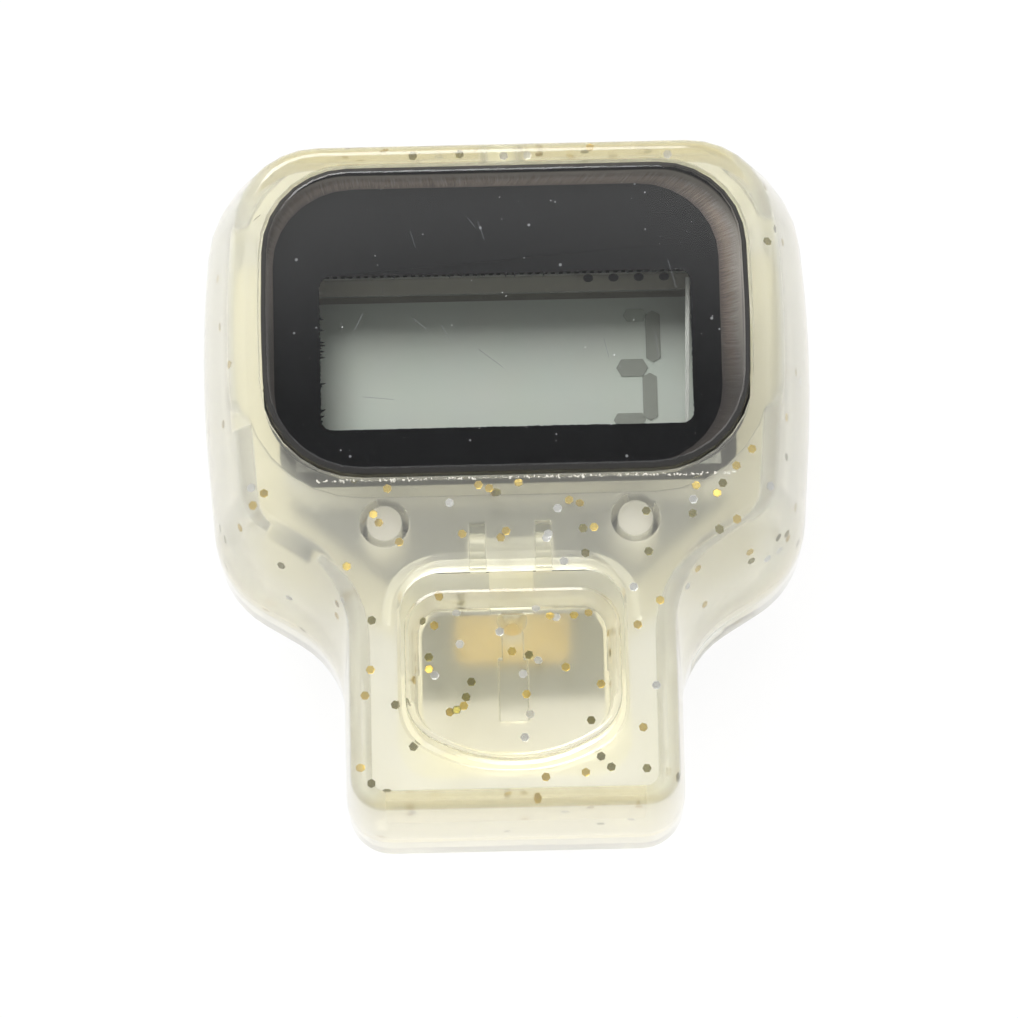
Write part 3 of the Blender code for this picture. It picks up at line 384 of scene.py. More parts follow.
pin_end = even_plastic("pin_end", "A0968B", roughness=0.4, haze=0.5, glow=0.02)
frosted = even_plastic("tube_frosted", "F6F4EA", roughness=0.4, haze=0.25, glow=0.06)
refinish(rear, pin_end, lambda face: near_pin(face, *PIN_END_LEVELS))
refinish(front, frosted, lambda face: near_pin(face, *TUBE_LEVELS))
refinish(front, greased, on_saddle)

# %% [markdown]
# ## Thumb button
# The button is moulded from the same plastic, polished on top, with a little less milk in it. Its axle
# is greased like the saddles. The reset cap at the top edge is its small neighbour.

# %% Thumb button and reset cap
AXLE_FROM_Y = -4.3 * MM
button = merged_copy("count_button", "thumb_button", shrink=HAIR)
styrene_button = clear_plastic("button", "FCF8E6", "F6F0D4", roughness=0.1, haze=0.06, glow=0.06)
button_inside = even_plastic("button_inside", "FAF6DE", roughness=0.35, haze=0.2, glow=0.08)
polish_outside(button, closed_housing + [surface_tree(button)], styrene_button, button_inside)
refinish(button, greased, lambda face: face.center.y > AXLE_FROM_Y)

reset_cap = merged_copy("reset_button", "reset_cap", shrink=HAIR)
dress(reset_cap, satin)

# %% [markdown]
# A thin flange runs round the button under the rim of the opening, so the gap shows cream plastic and
# not the board. Through the face one also sees a rib that stiffens the wall above the opening, as a
# pale arc. Both are made like a picture frame: a plane with rounded corners, inset, its middle taken
# out, and the strip that is left made solid. The rib is then cut off at the button's shoulders.

# %% Starting, moving and picking
def begin(add, **settings):
    """A piece begun from a primitive. It is the only one selected."""
    bpy.ops.object.select_all(action="DESELECT")
    add(**settings)
    return bpy.context.object


def shift(piece, by):
    piece.data.transform(Matrix.Translation(by))


def pick(piece, kind, wanted):
    """Selects the faces or edges that pass a test, and no others."""
    with editing("DESELECT"):
        bpy.ops.mesh.select_mode(type=kind)
    for part in piece.data.polygons if kind == "FACE" else piece.data.edges:
        part.select = wanted(part)


def thicken(piece, thickness):
    """Makes a flat piece solid, downwards."""
    add_modifier(piece, "SOLIDIFY", thickness=thickness, offset=-1)
    apply_modifiers(piece)


# %% Frames
FLANGE = mm(-5.85, -15.3, 10.75), mm(5.85, -4.82, 11.0)
FLANGE_CORNER = 1.9 * MM
FLANGE_WIDTH = 1.3 * MM
FLANGE_ROUND = 0.05 * MM
RIB = mm(-6.5, -16.5, 11.45), mm(6.5, -4.1, 11.78)
RIB_CORNER = 2.9 * MM
RIB_WIDTH = 0.45 * MM
RIB_ROUND = 0.08 * MM
RIB_ENDS_Y = -7.6 * MM


def inset_plate(low, high, corner, width, segments=12):
    """A flat plate at the height of high, with rounded corners and its middle inset by the width."""
    made = begin(bpy.ops.mesh.primitive_plane_add, size=1)
    made.data.transform(Matrix.Diagonal((high.x - low.x, high.y - low.y, 1, 1)))
    shift(made, ((low.x + high.x) / 2, (low.y + high.y) / 2, high.z))
    with editing("SELECT"):
        bpy.ops.mesh.bevel(offset=corner, segments=segments, affect="VERTICES")
        bpy.ops.mesh.select_all(action="SELECT")
        bpy.ops.mesh.inset(thickness=width)
    return made


def is_middle(face):
    return len(face.vertices) > 4


def open_middle(piece):
    """Takes out the many-sided middle face."""
    pick(piece, "FACE", is_middle)
    with editing():
        bpy.ops.mesh.delete(type="FACE")


def picture_frame(low, high, corner, width):
    """A strip of even width with rounded corners, from low.z to high.z."""
    made = inset_plate(low, high, corner, width)
    open_middle(made)
    thicken(made, high.z - low.z)
    return made


def round_edges(piece, width):
    add_round(piece, width)
    apply_modifiers(piece)
    with editing("SELECT"):
        bpy.ops.mesh.normals_make_consistent(inside=False)
    bpy.ops.object.shade_smooth_by_angle(angle=SMOOTH_ANGLE)


flange = picture_frame(*FLANGE, FLANGE_CORNER, FLANGE_WIDTH)
round_edges(flange, FLANGE_ROUND)
settle(flange, "thumb_button_flange", "counting")
dress(flange, button_inside)

rib = picture_frame(*RIB, RIB_CORNER, RIB_WIDTH)
with editing("SELECT"):
    bpy.ops.mesh.bisect(plane_co=(0, RIB_ENDS_Y, 0), plane_no=(0, 1, 0), use_fill=True, clear_inner=True)
round_edges(rib, RIB_ROUND)
settle(rib, "opening_rib")
dress(rib, satin)

# %% [markdown]
# ## Lens
# The window is a thick acrylic sheet, sawn and flame polished, so its faces are clear and its rim has a
# small bright bevel. Nothing is tinted, and only its gloss and its refraction show. The saw leaves the
# rim matt, and ink has crept over it. From above it is a thin dark line all round.

# %% Lens and its dark rim
LENS_ROUND = 0.08 * MM
SAW_LINE = 0.08 * MM
SAW_LINES_UP = 300
FACING_UP = 0.85
lens = merged_copy("display_lens", "window_lens", LENS_ROUND, shrink=HAIR)
acrylic, tree = empty_material("clear_acrylic_polished")
sheet = node(tree, "BsdfPrincipled", {"Base Color": colour("FBFBFA"), "Roughness": 0.03, "IOR": 1.49,
                                      "Transmission Weight": 1.0})
clear(tree, sheet, "F7F7F7")

rim, tree = empty_material("acrylic_sawn_inked")
place = node(tree, "TexCoord", {})
marks = node(tree, "Mapping", {"Vector": place.outputs["Object"],
                               "Scale": (1 / SAW_LINE, 1 / SAW_LINE, SAW_LINES_UP)})
saw = node(tree, "TexNoise", {"Vector": marks.outputs[0], "Scale": 1.0, "Detail": 3.0})
tone = node(tree, "Mix", {"data_type": "RGBA", 0: saw.outputs["Fac"], 6: colour("0C0C0D"),
                          7: colour("3A3836")})
surface = node(tree, "BsdfPrincipled", {"Base Color": tone.outputs[2], "Roughness": 0.3})
node(tree, "OutputMaterial", {"Surface": surface.outputs[0]})
dress(lens, acrylic, rim)
for face in lens.data.polygons:
    face.material_index = int(abs(face.normal.z) < FACING_UP)

# %% [markdown]
# ## Printed mask
# The black mask is screen printed behind the lens. Under the thick lens its cut edge shows as a ragged
# line with small teeth. The copy of the mask gets many short edges round the window, and each is pushed
# a little at random, more at the left and at the top, where the picture shows the longest teeth.

# %% Mask with a ragged window
MASK_DROP = 0.01 * MM
TOOTH = 0.05 * MM
LONG_TOOTH = 0.3 * MM
LONG_CHANCE = 0.14
TOOTH_PITCH = 0.07 * MM
HALVINGS = 9
WINDOW_LOW, WINDOW_HIGH = mm(-9.4, 2.35), mm(9.4, 10.35)
WINDOW_REACH = 0.05 * MM
random.seed(4)

mask = merged_copy("window_mask", "printed_mask")


def by_window(co):
    """True for a point on the window's outline."""
    return all(WINDOW_LOW[i] - WINDOW_REACH < co[i] < WINDOW_HIGH[i] + WINDOW_REACH for i in (0, 1))


def is_long_by_window(edge):
    a, b = (mask.data.vertices[i].co for i in edge.vertices)
    flat = abs(a.z - b.z) < MERGE
    return flat and by_window(a) and by_window(b) and (a - b).length > TOOTH_PITCH


only(mask)
for _ in range(HALVINGS):
    pick(mask, "EDGE", is_long_by_window)
    with editing():
        bpy.ops.mesh.subdivide(number_cuts=1)

# The print reaches nearer to the sawn edge at the left than at the right.
MASK_LOW, MASK_HIGH = mm(-11.7, 0.3), mm(10.85, 14.85)
flat_low, flat_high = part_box("window_mask")
middle = (WINDOW_LOW + WINDOW_HIGH) / 2
pushes = {}
for point in mask.data.vertices:
    point.co.z -= MASK_DROP
    if not by_window(point.co):
        for i in (0, 1):
            share = (point.co[i] - flat_low[i]) / (flat_high[i] - flat_low[i])
            point.co[i] = MASK_LOW[i] + share * (MASK_HIGH[i] - MASK_LOW[i])
        continue
    key = (round(point.co.x / MERGE), round(point.co.y / MERGE))
    if key not in pushes:
        toothed = point.co.x < WINDOW_LOW.x + TOOTH or point.co.y > WINDOW_HIGH.y - TOOTH
        long = toothed and random.random() < LONG_CHANCE
        pushes[key] = random.uniform(0, LONG_TOOTH if long else TOOTH)
    inward = (middle - point.co.xy).normalized()
    point.co.x += inward.x * pushes[key]
    point.co.y += inward.y * pushes[key]
print("window edge points", len(pushes))

# %% [markdown]
# The ink is dense and satin. Dust and pinholes show on it as tiny grey dots, far apart, which a cell
# pattern makes: only the very middle of a cell is lighter.

# %% Ink
PINHOLE_PITCH = 1.1 * MM
PINHOLE_SHARE = 0.07
INK_CLOUD = 2 * MM
ink, tree = empty_material("screen_ink_black")
place = node(tree, "TexCoord", {})
cells = node(tree, "TexVoronoi", {"Vector": place.outputs["Object"], "Scale": 1 / PINHOLE_PITCH})
hole = node(tree, "Math", {"operation": "LESS_THAN", 0: cells.outputs["Distance"], 1: PINHOLE_SHARE})
cloud = node(tree, "TexNoise", {"Vector": place.outputs["Object"], "Scale": 1 / INK_CLOUD, "Detail": 3.0})
black = node(tree, "Mix", {"data_type": "RGBA", 0: cloud.outputs["Fac"], 6: colour("0B0C0D"),
                           7: colour("131417")})
spotted = node(tree, "Mix", {"data_type": "RGBA", 0: hole.outputs[0], 6: black.outputs[2],
                             7: colour("8A8C8E")})
surface = node(tree, "BsdfPrincipled", {"Base Color": spotted.outputs[2], "Roughness": 0.45,
                                        "Specular IOR Level": 0.1})
node(tree, "OutputMaterial", {"Surface": surface.outputs[0]})
dress(mask, ink)

# %% [markdown]
# ## Glue round the mask
# Between the mask and the sawn edge the lens is glued to its ledge. The glue is brown and pulled into
# streaks square to the edge. It is a flat ring, begun like the frames. Its inner loop is moved to just
# inside the mask's outline, so the ring runs on under the mask, and the whole is made solid. A map
# runs round the ring, so that the streaks can follow it.

# %% Glue ring
RING_DROP = 0.02 * MM
RING_GAP = mm(0.06, 0.06, 0)
RING_TUCK = mm(0.3, 0.3)
RING_CORNER = 4.3 * MM
RING_INSET = 0.4 * MM
RING_THICK = 0.07 * MM
lens_low, lens_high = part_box("display_lens")
ring_low, ring_high = lens_low + RING_GAP, lens_high - RING_GAP
ring_high.z = lens_low.z - RING_DROP
ring_middle = (ring_low + ring_high) / 2
glue = inset_plate(ring_low, ring_high, RING_CORNER, RING_INSET, segments=14)

inner = {i for face in glue.data.polygons if is_middle(face) for i in face.vertices}
mask_size = MASK_HIGH - MASK_LOW - RING_TUCK * 2
mask_middle = (MASK_HIGH + MASK_LOW) / 2
for i in inner:
    point = glue.data.vertices[i].co
    for axis in (0, 1):
        inset_size = ring_high[axis] - ring_low[axis] - 2 * RING_INSET
        point[axis] = mask_middle[axis] + (point[axis] - ring_middle[axis]) * mask_size[axis] / inset_size
open_middle(glue)

outer = sorted((v for v in glue.data.vertices if v.index not in inner),
               key=lambda v: math.atan2(v.co.y - ring_middle.y, v.co.x - ring_middle.x))
run = {}
travelled = 0.0
for before, point in zip([outer[0]] + outer, outer):
    travelled += (point.co - before.co).length
    run[point.index] = travelled
for edge in glue.data.edges:
    a, b = edge.vertices
    if (a in inner) != (b in inner):
        run[a if a in inner else b] = run[b if a in inner else a]
round_map = glue.data.uv_layers.new(name="round_the_ring")
for loop in glue.data.loops:
    across = 1.0 if loop.vertex_index in inner else 0.0
    round_map.data[loop.index].uv = (run[loop.vertex_index] / MM, across)
thicken(glue, RING_THICK)
settle(glue, "lens_glue")
print("ring is", round(travelled / MM, 1), "mm round")

# %% [markdown]
# Across the ring the glue goes from black at the rim through a pale band to brown and black at the mask, and
# it frays where it thins. The pale band is a painted reflection of the lens's bevel. The glue is paler
# towards the top right and darker towards the bottom left.

# %% Glue
STREAK = 0.07
STREAKS_ACROSS = 1.2
FRAY = 0.2
FRAY_STARTS = (0.2, 0.4)
PALE_WAY = (0.01, 0.07, 0)
PALE_FROM, PALE_TO = 0.4 * MM, 1.0 * MM
LEAST_PALE = 0.15
RIDGE = 0.03 * MM
# The pale stop at 0.19 is a painted reflection of the lens's bevel.
GLUE_AND_BEVEL_SHEEN_BANDS = ((0.0, "0F0F10"), (0.12, "141414"), (0.19, "ACA69C"), (0.4, "8A8279"), (0.56, "7F6F61"),
              (0.8, "4E4137"), (1.0, "1E1B18"))
glue_and_bevel_sheen, tree = empty_material("contact_glue_streaked_with_painted_sheen")
around = node(tree, "UVMap", {"uv_map": "round_the_ring"})
streaks = node(tree, "Mapping", {"Vector": around.outputs[0], "Scale": (1 / STREAK, STREAKS_ACROSS, 1)})
fine = node(tree, "TexNoise", {"Vector": streaks.outputs[0], "Scale": 1.0, "Detail": 4.0, "Roughness": 0.7})
across = node(tree, "SeparateXYZ", {0: around.outputs[0]})
fray = node(tree, "MapRange", {0: fine.outputs["Fac"], 1: 0.3, 2: 0.7, 3: -FRAY, 4: FRAY})
inside = node(tree, "MapRange", {0: across.outputs[1], 1: FRAY_STARTS[0], 2: FRAY_STARTS[1]})
frayed = node(tree, "Math", {"operation": "MULTIPLY_ADD", 0: fray.outputs[0], 1: inside.outputs[0],
                             2: across.outputs[1]})
bands = node(tree, "ValToRGB", {0: frayed.outputs[0]})
while len(bands.color_ramp.elements) < len(GLUE_AND_BEVEL_SHEEN_BANDS):
    bands.color_ramp.elements.new(0.5)
for stop, (at, code) in zip(bands.color_ramp.elements, GLUE_AND_BEVEL_SHEEN_BANDS):
    stop.position = at
    stop.color = colour(code)
place = node(tree, "TexCoord", {})
side = node(tree, "VectorMath", {"operation": "DOT_PRODUCT", 0: place.outputs["Object"], 1: PALE_WAY})
lifted = node(tree, "MapRange", {0: side.outputs["Value"], 1: PALE_FROM, 2: PALE_TO, 3: LEAST_PALE, 4: 1.0})
brown = node(tree, "Mix", {"data_type": "RGBA", 0: lifted.outputs[0], 6: colour("161413"),
                           7: bands.outputs["Color"]})
ridge = node(tree, "Bump", {"Strength": 0.5, "Distance": RIDGE, "Height": fine.outputs["Fac"]})
surface = node(tree, "BsdfPrincipled", {"Base Color": brown.outputs[2], "Roughness": 0.35,
                                        "Normal": ridge.outputs[0]})
node(tree, "OutputMaterial", {"Surface": surface.outputs[0]})
dress(glue, glue_and_bevel_sheen)

# %% [markdown]
# ## Display cell
# A film, two glass plates and a reflector are glued to one stack. The glue matches the glass, so only
# the top of the stack mirrors, and the layers below get an index near 1: they tint but don't bend.

# %% Cell glass and film
SMEAR = 4 * MM


def stack_layer(name, base, roughness, index):
    made, tree = empty_material(name)
    place = node(tree, "TexCoord", {})
    smear = node(tree, "TexNoise", {"Vector": place.outputs["Object"], "Scale": 1 / SMEAR, "Detail": 3.0})
    tint = node(tree, "Mix", {"data_type": "RGBA", 0: smear.outputs["Fac"], 6: colour(base),
                              7: colour("FDFEFC")})
    layer = node(tree, "BsdfPrincipled", {"Base Color": tint.outputs[2], "Roughness": roughness,
                                          "IOR": index, "Transmission Weight": 1.0})
    clear(tree, layer, "FEFEFE")
    return made


plate_glass = stack_layer("soda_glass_float", "FCFEFC", roughness=0.0, index=1.02)
matt_film = stack_layer("polariser_film_matt", "FBFCFA", roughness=0.1, index=1.04)
for source, name, finish, slot in (("lcd_front_polariser", "front_film", matt_film, "polariser_film"),
                                   ("lcd_front_glass", "front_plate", plate_glass, "display_glass"),
                                   ("lcd_rear_glass", "rear_plate", plate_glass, "display_glass")):
    layer = merged_copy(source, name, shrink=HAIR)
    dress(layer, finish)

# %% [markdown]
# The reflector is a brushed foil behind a second film. The brushing runs up and down and is far finer
# than a pixel, so its lines are drawn 0.12 mm wide to show at all.

# %% Reflector
BRUSH_WIDTH = 0.12 * MM
BRUSH_LENGTH = 5.0 * MM
STAIN = 3 * MM
STAIN_SHARE = 0.06
foil, tree = empty_material("foil_reflector_brushed")
place = node(tree, "TexCoord", {})
lines = node(tree, "Mapping", {"Vector": place.outputs["Object"],
                               "Scale": (1 / BRUSH_WIDTH, 1 / BRUSH_LENGTH, 1)})
brush = node(tree, "TexNoise", {"Vector": lines.outputs[0], "Scale": 1.0, "Detail": 3.0})
stain = node(tree, "TexNoise", {"Vector": place.outputs["Object"], "Scale": 1 / STAIN, "Detail": 4.0})
lined = node(tree, "Mix", {"data_type": "RGBA", 0: brush.outputs["Fac"], 6: colour("F4FAF4"),
                           7: colour("FCFFFA")})
grey = node(tree, "Mix", {"data_type": "RGBA", "blend_type": "MULTIPLY", 0: STAIN_SHARE,
                          6: lined.outputs[2], 7: stain.outputs["Color"]})
surface = node(tree, "BsdfPrincipled", {"Base Color": grey.outputs[2], "Roughness": 0.5})
node(tree, "OutputMaterial", {"Surface": surface.outputs[0]})
dress("lcd_reflector", foil)

# %% [markdown]
# Above the foil the glass runs on to its contacts. A strip of dull brown sealing tape under it shows as
# a darker band along the top of the window. Its edges are rounded and it is as long as the glass.

# %% Sealing tape
TAPE_LOW, TAPE_HIGH = mm(-10.1, 9.66, 8.46), mm(10.1, 10.96, 8.56)
TAPE_ROUND = 0.03 * MM


def rounded_bar(size, width):
    """A bar of this size about the origin, with rounded edges."""
    made = begin(bpy.ops.mesh.primitive_cube_add, size=1)
    made.data.transform(Matrix.Diagonal((*size, 1)))
    with editing("SELECT"):
        bpy.ops.mesh.bevel(offset=width, segments=2)
    return made


tape = rounded_bar(TAPE_HIGH - TAPE_LOW, TAPE_ROUND)
shift(tape, (TAPE_HIGH + TAPE_LOW) / 2)
settle(tape, "lcd_sealing_tape")

# %% [markdown]
# ## Digit
# The last digit is partly driven. Each segment is a bar with pointed ends, made from a six-sided plate
# whose two ends are pulled apart. They lie between the two glass plates. The four dots above are short
# round plates with a bevel.

# %% Digit segments and transfer dots
CRYSTAL_Z = 8.61 * MM
SEGMENT_THICK = 0.01 * MM
SIXTH = math.pi / 6
QUARTER_TURN = math.pi / 2
DRIVEN = (((7.50, 7.64), 2.7, True, 0.74), ((6.40, 6.02), 1.62, False, 0.9), ((7.28, 4.49), 2.5, True, 0.74),
          ((6.22, 3.30), 1.65, False, 0.7))
HALF_DRIVEN = ((6.6, 8.76), 1.2, False, 0.66)
DOT_RADIUS = 0.26 * MM
DOT_THICK = 0.03 * MM
DOT_FLAT = 0.82
DOT_ROUND = 0.008 * MM
DOT_PITCH = 1.29 * MM
FIRST_DOT = mm(4.27, 10.6, 9.31)
DOTS = 4


def spin(piece, angle):
    """Turns a mesh about the upright axis."""
    piece.data.transform(Matrix.Rotation(angle, 4, "Z"))


def segment(middle, length, upright, width):
    """A bar with pointed ends about its middle, upright or lying, with its sizes in millimetres."""
    length, width = length * MM, width * MM
    radius = width / 2 / math.cos(SIXTH)
    made = begin(bpy.ops.mesh.primitive_cylinder_add, vertices=6, radius=radius, depth=SEGMENT_THICK)
    for point in made.data.vertices:
        point.co.y += math.copysign(length / 2 - radius, point.co.y)
    if not upright:
        spin(made, QUARTER_TURN)
    shift(made, mm(*middle, 0) + Vector((0, 0, CRYSTAL_Z)))
    return made


def join(pieces):
    """Joins loose pieces into the first one."""
    bpy.ops.object.select_all(action="DESELECT")
    for piece in pieces:
        piece.select_set(True)
    bpy.context.view_layer.objects.active = pieces[0]
    if len(pieces) > 1:
        bpy.ops.object.join()
    return pieces[0]


digit = settle(join([segment(*bar) for bar in DRIVEN]), "lcd_digit")
faded = settle(segment(*HALF_DRIVEN), "lcd_faded_segment")

dots = []
for i in range(DOTS):
    dot = begin(bpy.ops.mesh.primitive_cylinder_add, vertices=20, radius=DOT_RADIUS, depth=DOT_THICK)
    with editing("SELECT"):
        bpy.ops.transform.resize(value=(1.0, DOT_FLAT, 1.0))
        bpy.ops.mesh.bevel(offset=DOT_ROUND, segments=1)
    shift(dot, FIRST_DOT + Vector((i * DOT_PITCH, 0, 0)))
    dots.append(dot)
dots = settle(join(dots), "lcd_transfer_dots")

# %% [markdown]
# At rest the crystal turns the light and looks clear. A driven segment blocks most of it, which leaves
# a warm grey. The top segment is nearly off. The dots are conductive paint, blacker than any segment.
# None is even: each wanders between two tones, in small clouds.

# %% Segment, dot and tape finishes
CRYSTAL_GRAIN = 0.25 * MM


def mottled(name, first, second, size, settings, detail=3.0):
    """An opaque material whose colour wanders between two tones."""
    made, tree = empty_material(name)
    place = node(tree, "TexCoord", {})
    cloud = node(tree, "TexNoise", {"Vector": place.outputs["Object"], "Scale": 1 / size, "Detail": detail})
    tone = node(tree, "Mix", {"data_type": "RGBA", 0: cloud.outputs["Fac"], 6: colour(first),
                              7: colour(second)})
    surface = node(tree, "BsdfPrincipled", {"Base Color": tone.outputs[2], **settings})
    node(tree, "OutputMaterial", {"Surface": surface.outputs[0]})
    return made


def crystal(name, light, dark, roughness=0.5):
    return mottled(name, light, dark, CRYSTAL_GRAIN, {"Roughness": roughness})


dress(digit, crystal("crystal_driven", "B4B6B0", "A6A7A2"))
dress(faded, crystal("crystal_half_driven", "B9BEB7", "C2C7BF"))
dress(tape, crystal("kraft_tape_dull", "A29E94", "AFABA1"))
dress(dots, crystal("silver_paint_dark", "26262A", "111114"))

# %% [markdown]
# At the right of the window the film stops short of the glass, and the cut edge of the stack shows as a
# pale upright line. It is a thin bar on the film, with rounded edges, that leans with the edge.

# %% Cut edge of the stack
EDGE_FOOT, EDGE_TOP = mm(9.05, 2.2), mm(9.3, 10.3)
EDGE_WIDTH = 0.22 * MM
EDGE_THICK = 0.08 * MM
EDGE_ROUND = 0.02 * MM
EDGE_LIFT = 0.045 * MM
edge_length = EDGE_TOP.y - EDGE_FOOT.y
cut_edge = rounded_bar((EDGE_WIDTH, edge_length, EDGE_THICK), EDGE_ROUND)
for point in cut_edge.data.vertices:
    share = point.co.y / edge_length + 0.5
    point.co.x += EDGE_FOOT.x + (EDGE_TOP.x - EDGE_FOOT.x) * share
shift(cut_edge, (0, (EDGE_FOOT.y + EDGE_TOP.y) / 2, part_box("lcd_front_polariser")[1].z + EDGE_LIFT))
settle(cut_edge, "stack_cut_edge")
dress(cut_edge, crystal("glass_edge_ground", "C9CCC6", "B4B8B2"))

# %% [markdown]
# ## Under the display
# The frame is white ABS, and the strip that joins glass and board is silicone with black carbon layers.
# The real layers are 0.05 mm thick; here they are 0.2 mm so that they show.

# %% Frame and strip
GRAIN_DEPTH = 0.01 * MM


def moulded(name, base, shade, roughness, grain):
    """Opaque moulded plastic with a fine spark-eroded grain."""
    made, tree = empty_material(name)
    place = node(tree, "TexCoord", {})
    grit = node(tree, "TexNoise", {"Vector": place.outputs["Object"], "Scale": 1 / (grain * MM),
                                   "Detail": 2.0})
    tone = node(tree, "Mix", {"data_type": "RGBA", 0: grit.outputs["Fac"], 6: colour(base),
                              7: colour(shade)})
    rough = node(tree, "Bump", {"Strength": 0.3, "Distance": GRAIN_DEPTH, "Height": grit.outputs["Fac"]})
    surface = node(tree, "BsdfPrincipled", {"Base Color": tone.outputs[2], "Roughness": roughness,
                                            "Normal": rough.outputs[0]})
    node(tree, "OutputMaterial", {"Surface": surface.outputs[0]})
    return made


# Each row: piece, finish, two tones, roughness and the grain's size in millimetres.
MOULDED = (("lcd_frame", "abs_white_moulded", "E4E4DE", "EEEEE8", 0.5, 0.2),
           ("reset_switch_body", "nylon_black_moulded", "161616", "242424", 0.5, 0.15),
           ("reset_switch_stem", "nylon_white_moulded", "CFCDC5", "DEDCD4", 0.5, 0.15),
           ("chip_capacitor", "ceramic_fired_tan", "8A6B4A", "A07F5A", 0.6, 0.1),
           ("chip_resistor", "glaze_black_fired", "101012", "2A2A2C", 0.3, 0.1))
for piece, *look in MOULDED:
    dress(piece, moulded(*look))

LAYER = 0.2 * MM
silicone, tree = empty_material("silicone_carbon_layered")
place = node(tree, "TexCoord", {})
apart = node(tree, "SeparateXYZ", {0: place.outputs["Object"]})
count = node(tree, "Math", {"operation": "MULTIPLY", 0: apart.outputs[0], 1: 1 / (2 * LAYER)})
share = node(tree, "Math", {"operation": "FRACT", 0: count.outputs[0]})
layer = node(tree, "Math", {"operation": "LESS_THAN", 0: share.outputs[0], 1: 0.5})
tone = node(tree, "Mix", {"data_type": "RGBA", 0: layer.outputs[0], 6: colour("B9B9BB"), 7: colour("1B1B1D")})
surface = node(tree, "BsdfPrincipled", {"Base Color": tone.outputs[2], "Roughness": 0.6})
node(tree, "OutputMaterial", {"Surface": surface.outputs[0]})
dress("zebra_strip", silicone)

# %% [markdown]
# ## Circuit board
# The board is glass epoxy under a dark solder mask. Copper tracks lie under the mask as slightly
# raised, lighter lines. A brick pattern with very long bricks gives parallel tracks with breaks. The mask
# stops short of the rim, and the bare epoxy beyond it is cream.

# %% Board
TRACK_PITCH = 0.55 * MM
TRACK_HEIGHT = 0.035 * MM
WEAVE = 1.5 * MM
MASKED_ALONG = (-5.4 * MM, -0.4 * MM)
MASKED_ASIDE = (5 * MM, 11 * MM)
MASK_EDGE = 0.1 * MM
solder, tree = empty_material("epoxy_board_solder_masked")
place = node(tree, "TexCoord", {})
tracks = node(tree, "TexBrick", {"Vector": place.outputs["Object"], "Color1": (0, 0, 0, 1),
                                 "Color2": (0, 0, 0, 1), "Mortar": (1, 1, 1, 1), "Scale": 1 / TRACK_PITCH,
                                 "Mortar Size": 0.14, "Mortar Smooth": 0.3, "Brick Width": 7.0,
                                 "Row Height": 1.0})
weave = node(tree, "TexNoise", {"Vector": place.outputs["Object"], "Scale": 1 / WEAVE, "Detail": 4.0})
mask_green = node(tree, "Mix", {"data_type": "RGBA", 0: weave.outputs["Fac"], 6: colour("333B3A"),
                                7: colour("434C4A")})
tracked = node(tree, "Mix", {"data_type": "RGBA", 0: tracks.outputs["Fac"], 6: mask_green.outputs[2],
                             7: colour("5C6660")})
spot = node(tree, "SeparateXYZ", {0: place.outputs["Object"]})
aside = node(tree, "Math", {"operation": "ABSOLUTE", 0: spot.outputs[0]})
masked_to = node(tree, "MapRange", {0: spot.outputs[1], 1: MASKED_ALONG[0], 2: MASKED_ALONG[1],
                                    3: MASKED_ASIDE[0], 4: MASKED_ASIDE[1]})
past = node(tree, "Math", {"operation": "SUBTRACT", 0: aside.outputs[0], 1: masked_to.outputs[0]})
bare = node(tree, "MapRange", {0: past.outputs[0], 1: 0.0, 2: MASK_EDGE})
board_tone = node(tree, "Mix", {"data_type": "RGBA", 0: bare.outputs[0], 6: tracked.outputs[2],
                                7: colour("E4DFC8")})
raised = node(tree, "Bump", {"Strength": 0.4, "Distance": TRACK_HEIGHT, "Height": tracks.outputs["Fac"]})
surface = node(tree, "BsdfPrincipled", {"Base Color": board_tone.outputs[2], "Roughness": 0.35,
                                        "Normal": raised.outputs[0]})
node(tree, "OutputMaterial", {"Surface": surface.outputs[0]})
dress("circuit_board", solder)

blob = merged_copy("chip_blob", "chip_blob_epoxy")
dress(blob, moulded("epoxy_black_poured", "0E0E10", "17171A", 0.25, 0.8))

# %% [markdown]
# ## Dome and film
# A steel snap dome sits under an amber polyimide film, which the plunger meets. Both give way when the button
# goes down.

# %% Dome and film
DOMED = math.radians(50)
GLUE_CLOUD = 1.2 * MM
film = merged_copy("dome_film", "amber_dome_film", smooth=DOMED)
dress(film, mottled("polyimide_film_amber", "CDA91E", "D8B410", GLUE_CLOUD,
                    {"Roughness": 0.3, "Coat Weight": 0.4, "Coat Roughness": 0.15}, detail=2.0))

dome = merged_copy("snap_dome", "steel_snap_dome", smooth=DOMED)
for piece in (film, dome):
    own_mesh(piece)

# %% [markdown]
# ## Bright metal
# The cell's can is nickel-plated and spun, which leaves fine rings round its middle. The contacts and
# the dome are rolled spring steel, and the screws are zinc plated. Rings and rolling are finer than a
# pixel, so they are drawn a tenth of a millimetre wide.

# %% Cell, contacts and dome
LATHE_RING = 0.1 * MM
GROOVE = 0.01 * MM
ROLLED_LENGTH = 3 * MM
METAL_ROUND = 0.05 * MM
cell_low, cell_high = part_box("button_cell")
spun, tree = empty_material("nickel_plate_spun")
place = node(tree, "TexCoord", {})
centred = node(tree, "Mapping", {"Vector": place.outputs["Object"], "Location": -(cell_low + cell_high) / 2,
                                 "Scale": (1, 1, 0)})
out = node(tree, "VectorMath", {"operation": "LENGTH", 0: centred.outputs[0]})
rings = node(tree, "TexNoise", {"noise_dimensions": "1D", "W": out.outputs["Value"], "Scale": 1 / LATHE_RING,
                                "Detail": 2.0})
tone = node(tree, "Mix", {"data_type": "RGBA", 0: rings.outputs["Fac"], 6: colour("A8A49B"),
                          7: colour("D2CFC8")})
groove = node(tree, "Bump", {"Strength": 0.3, "Distance": GROOVE, "Height": rings.outputs["Fac"]})
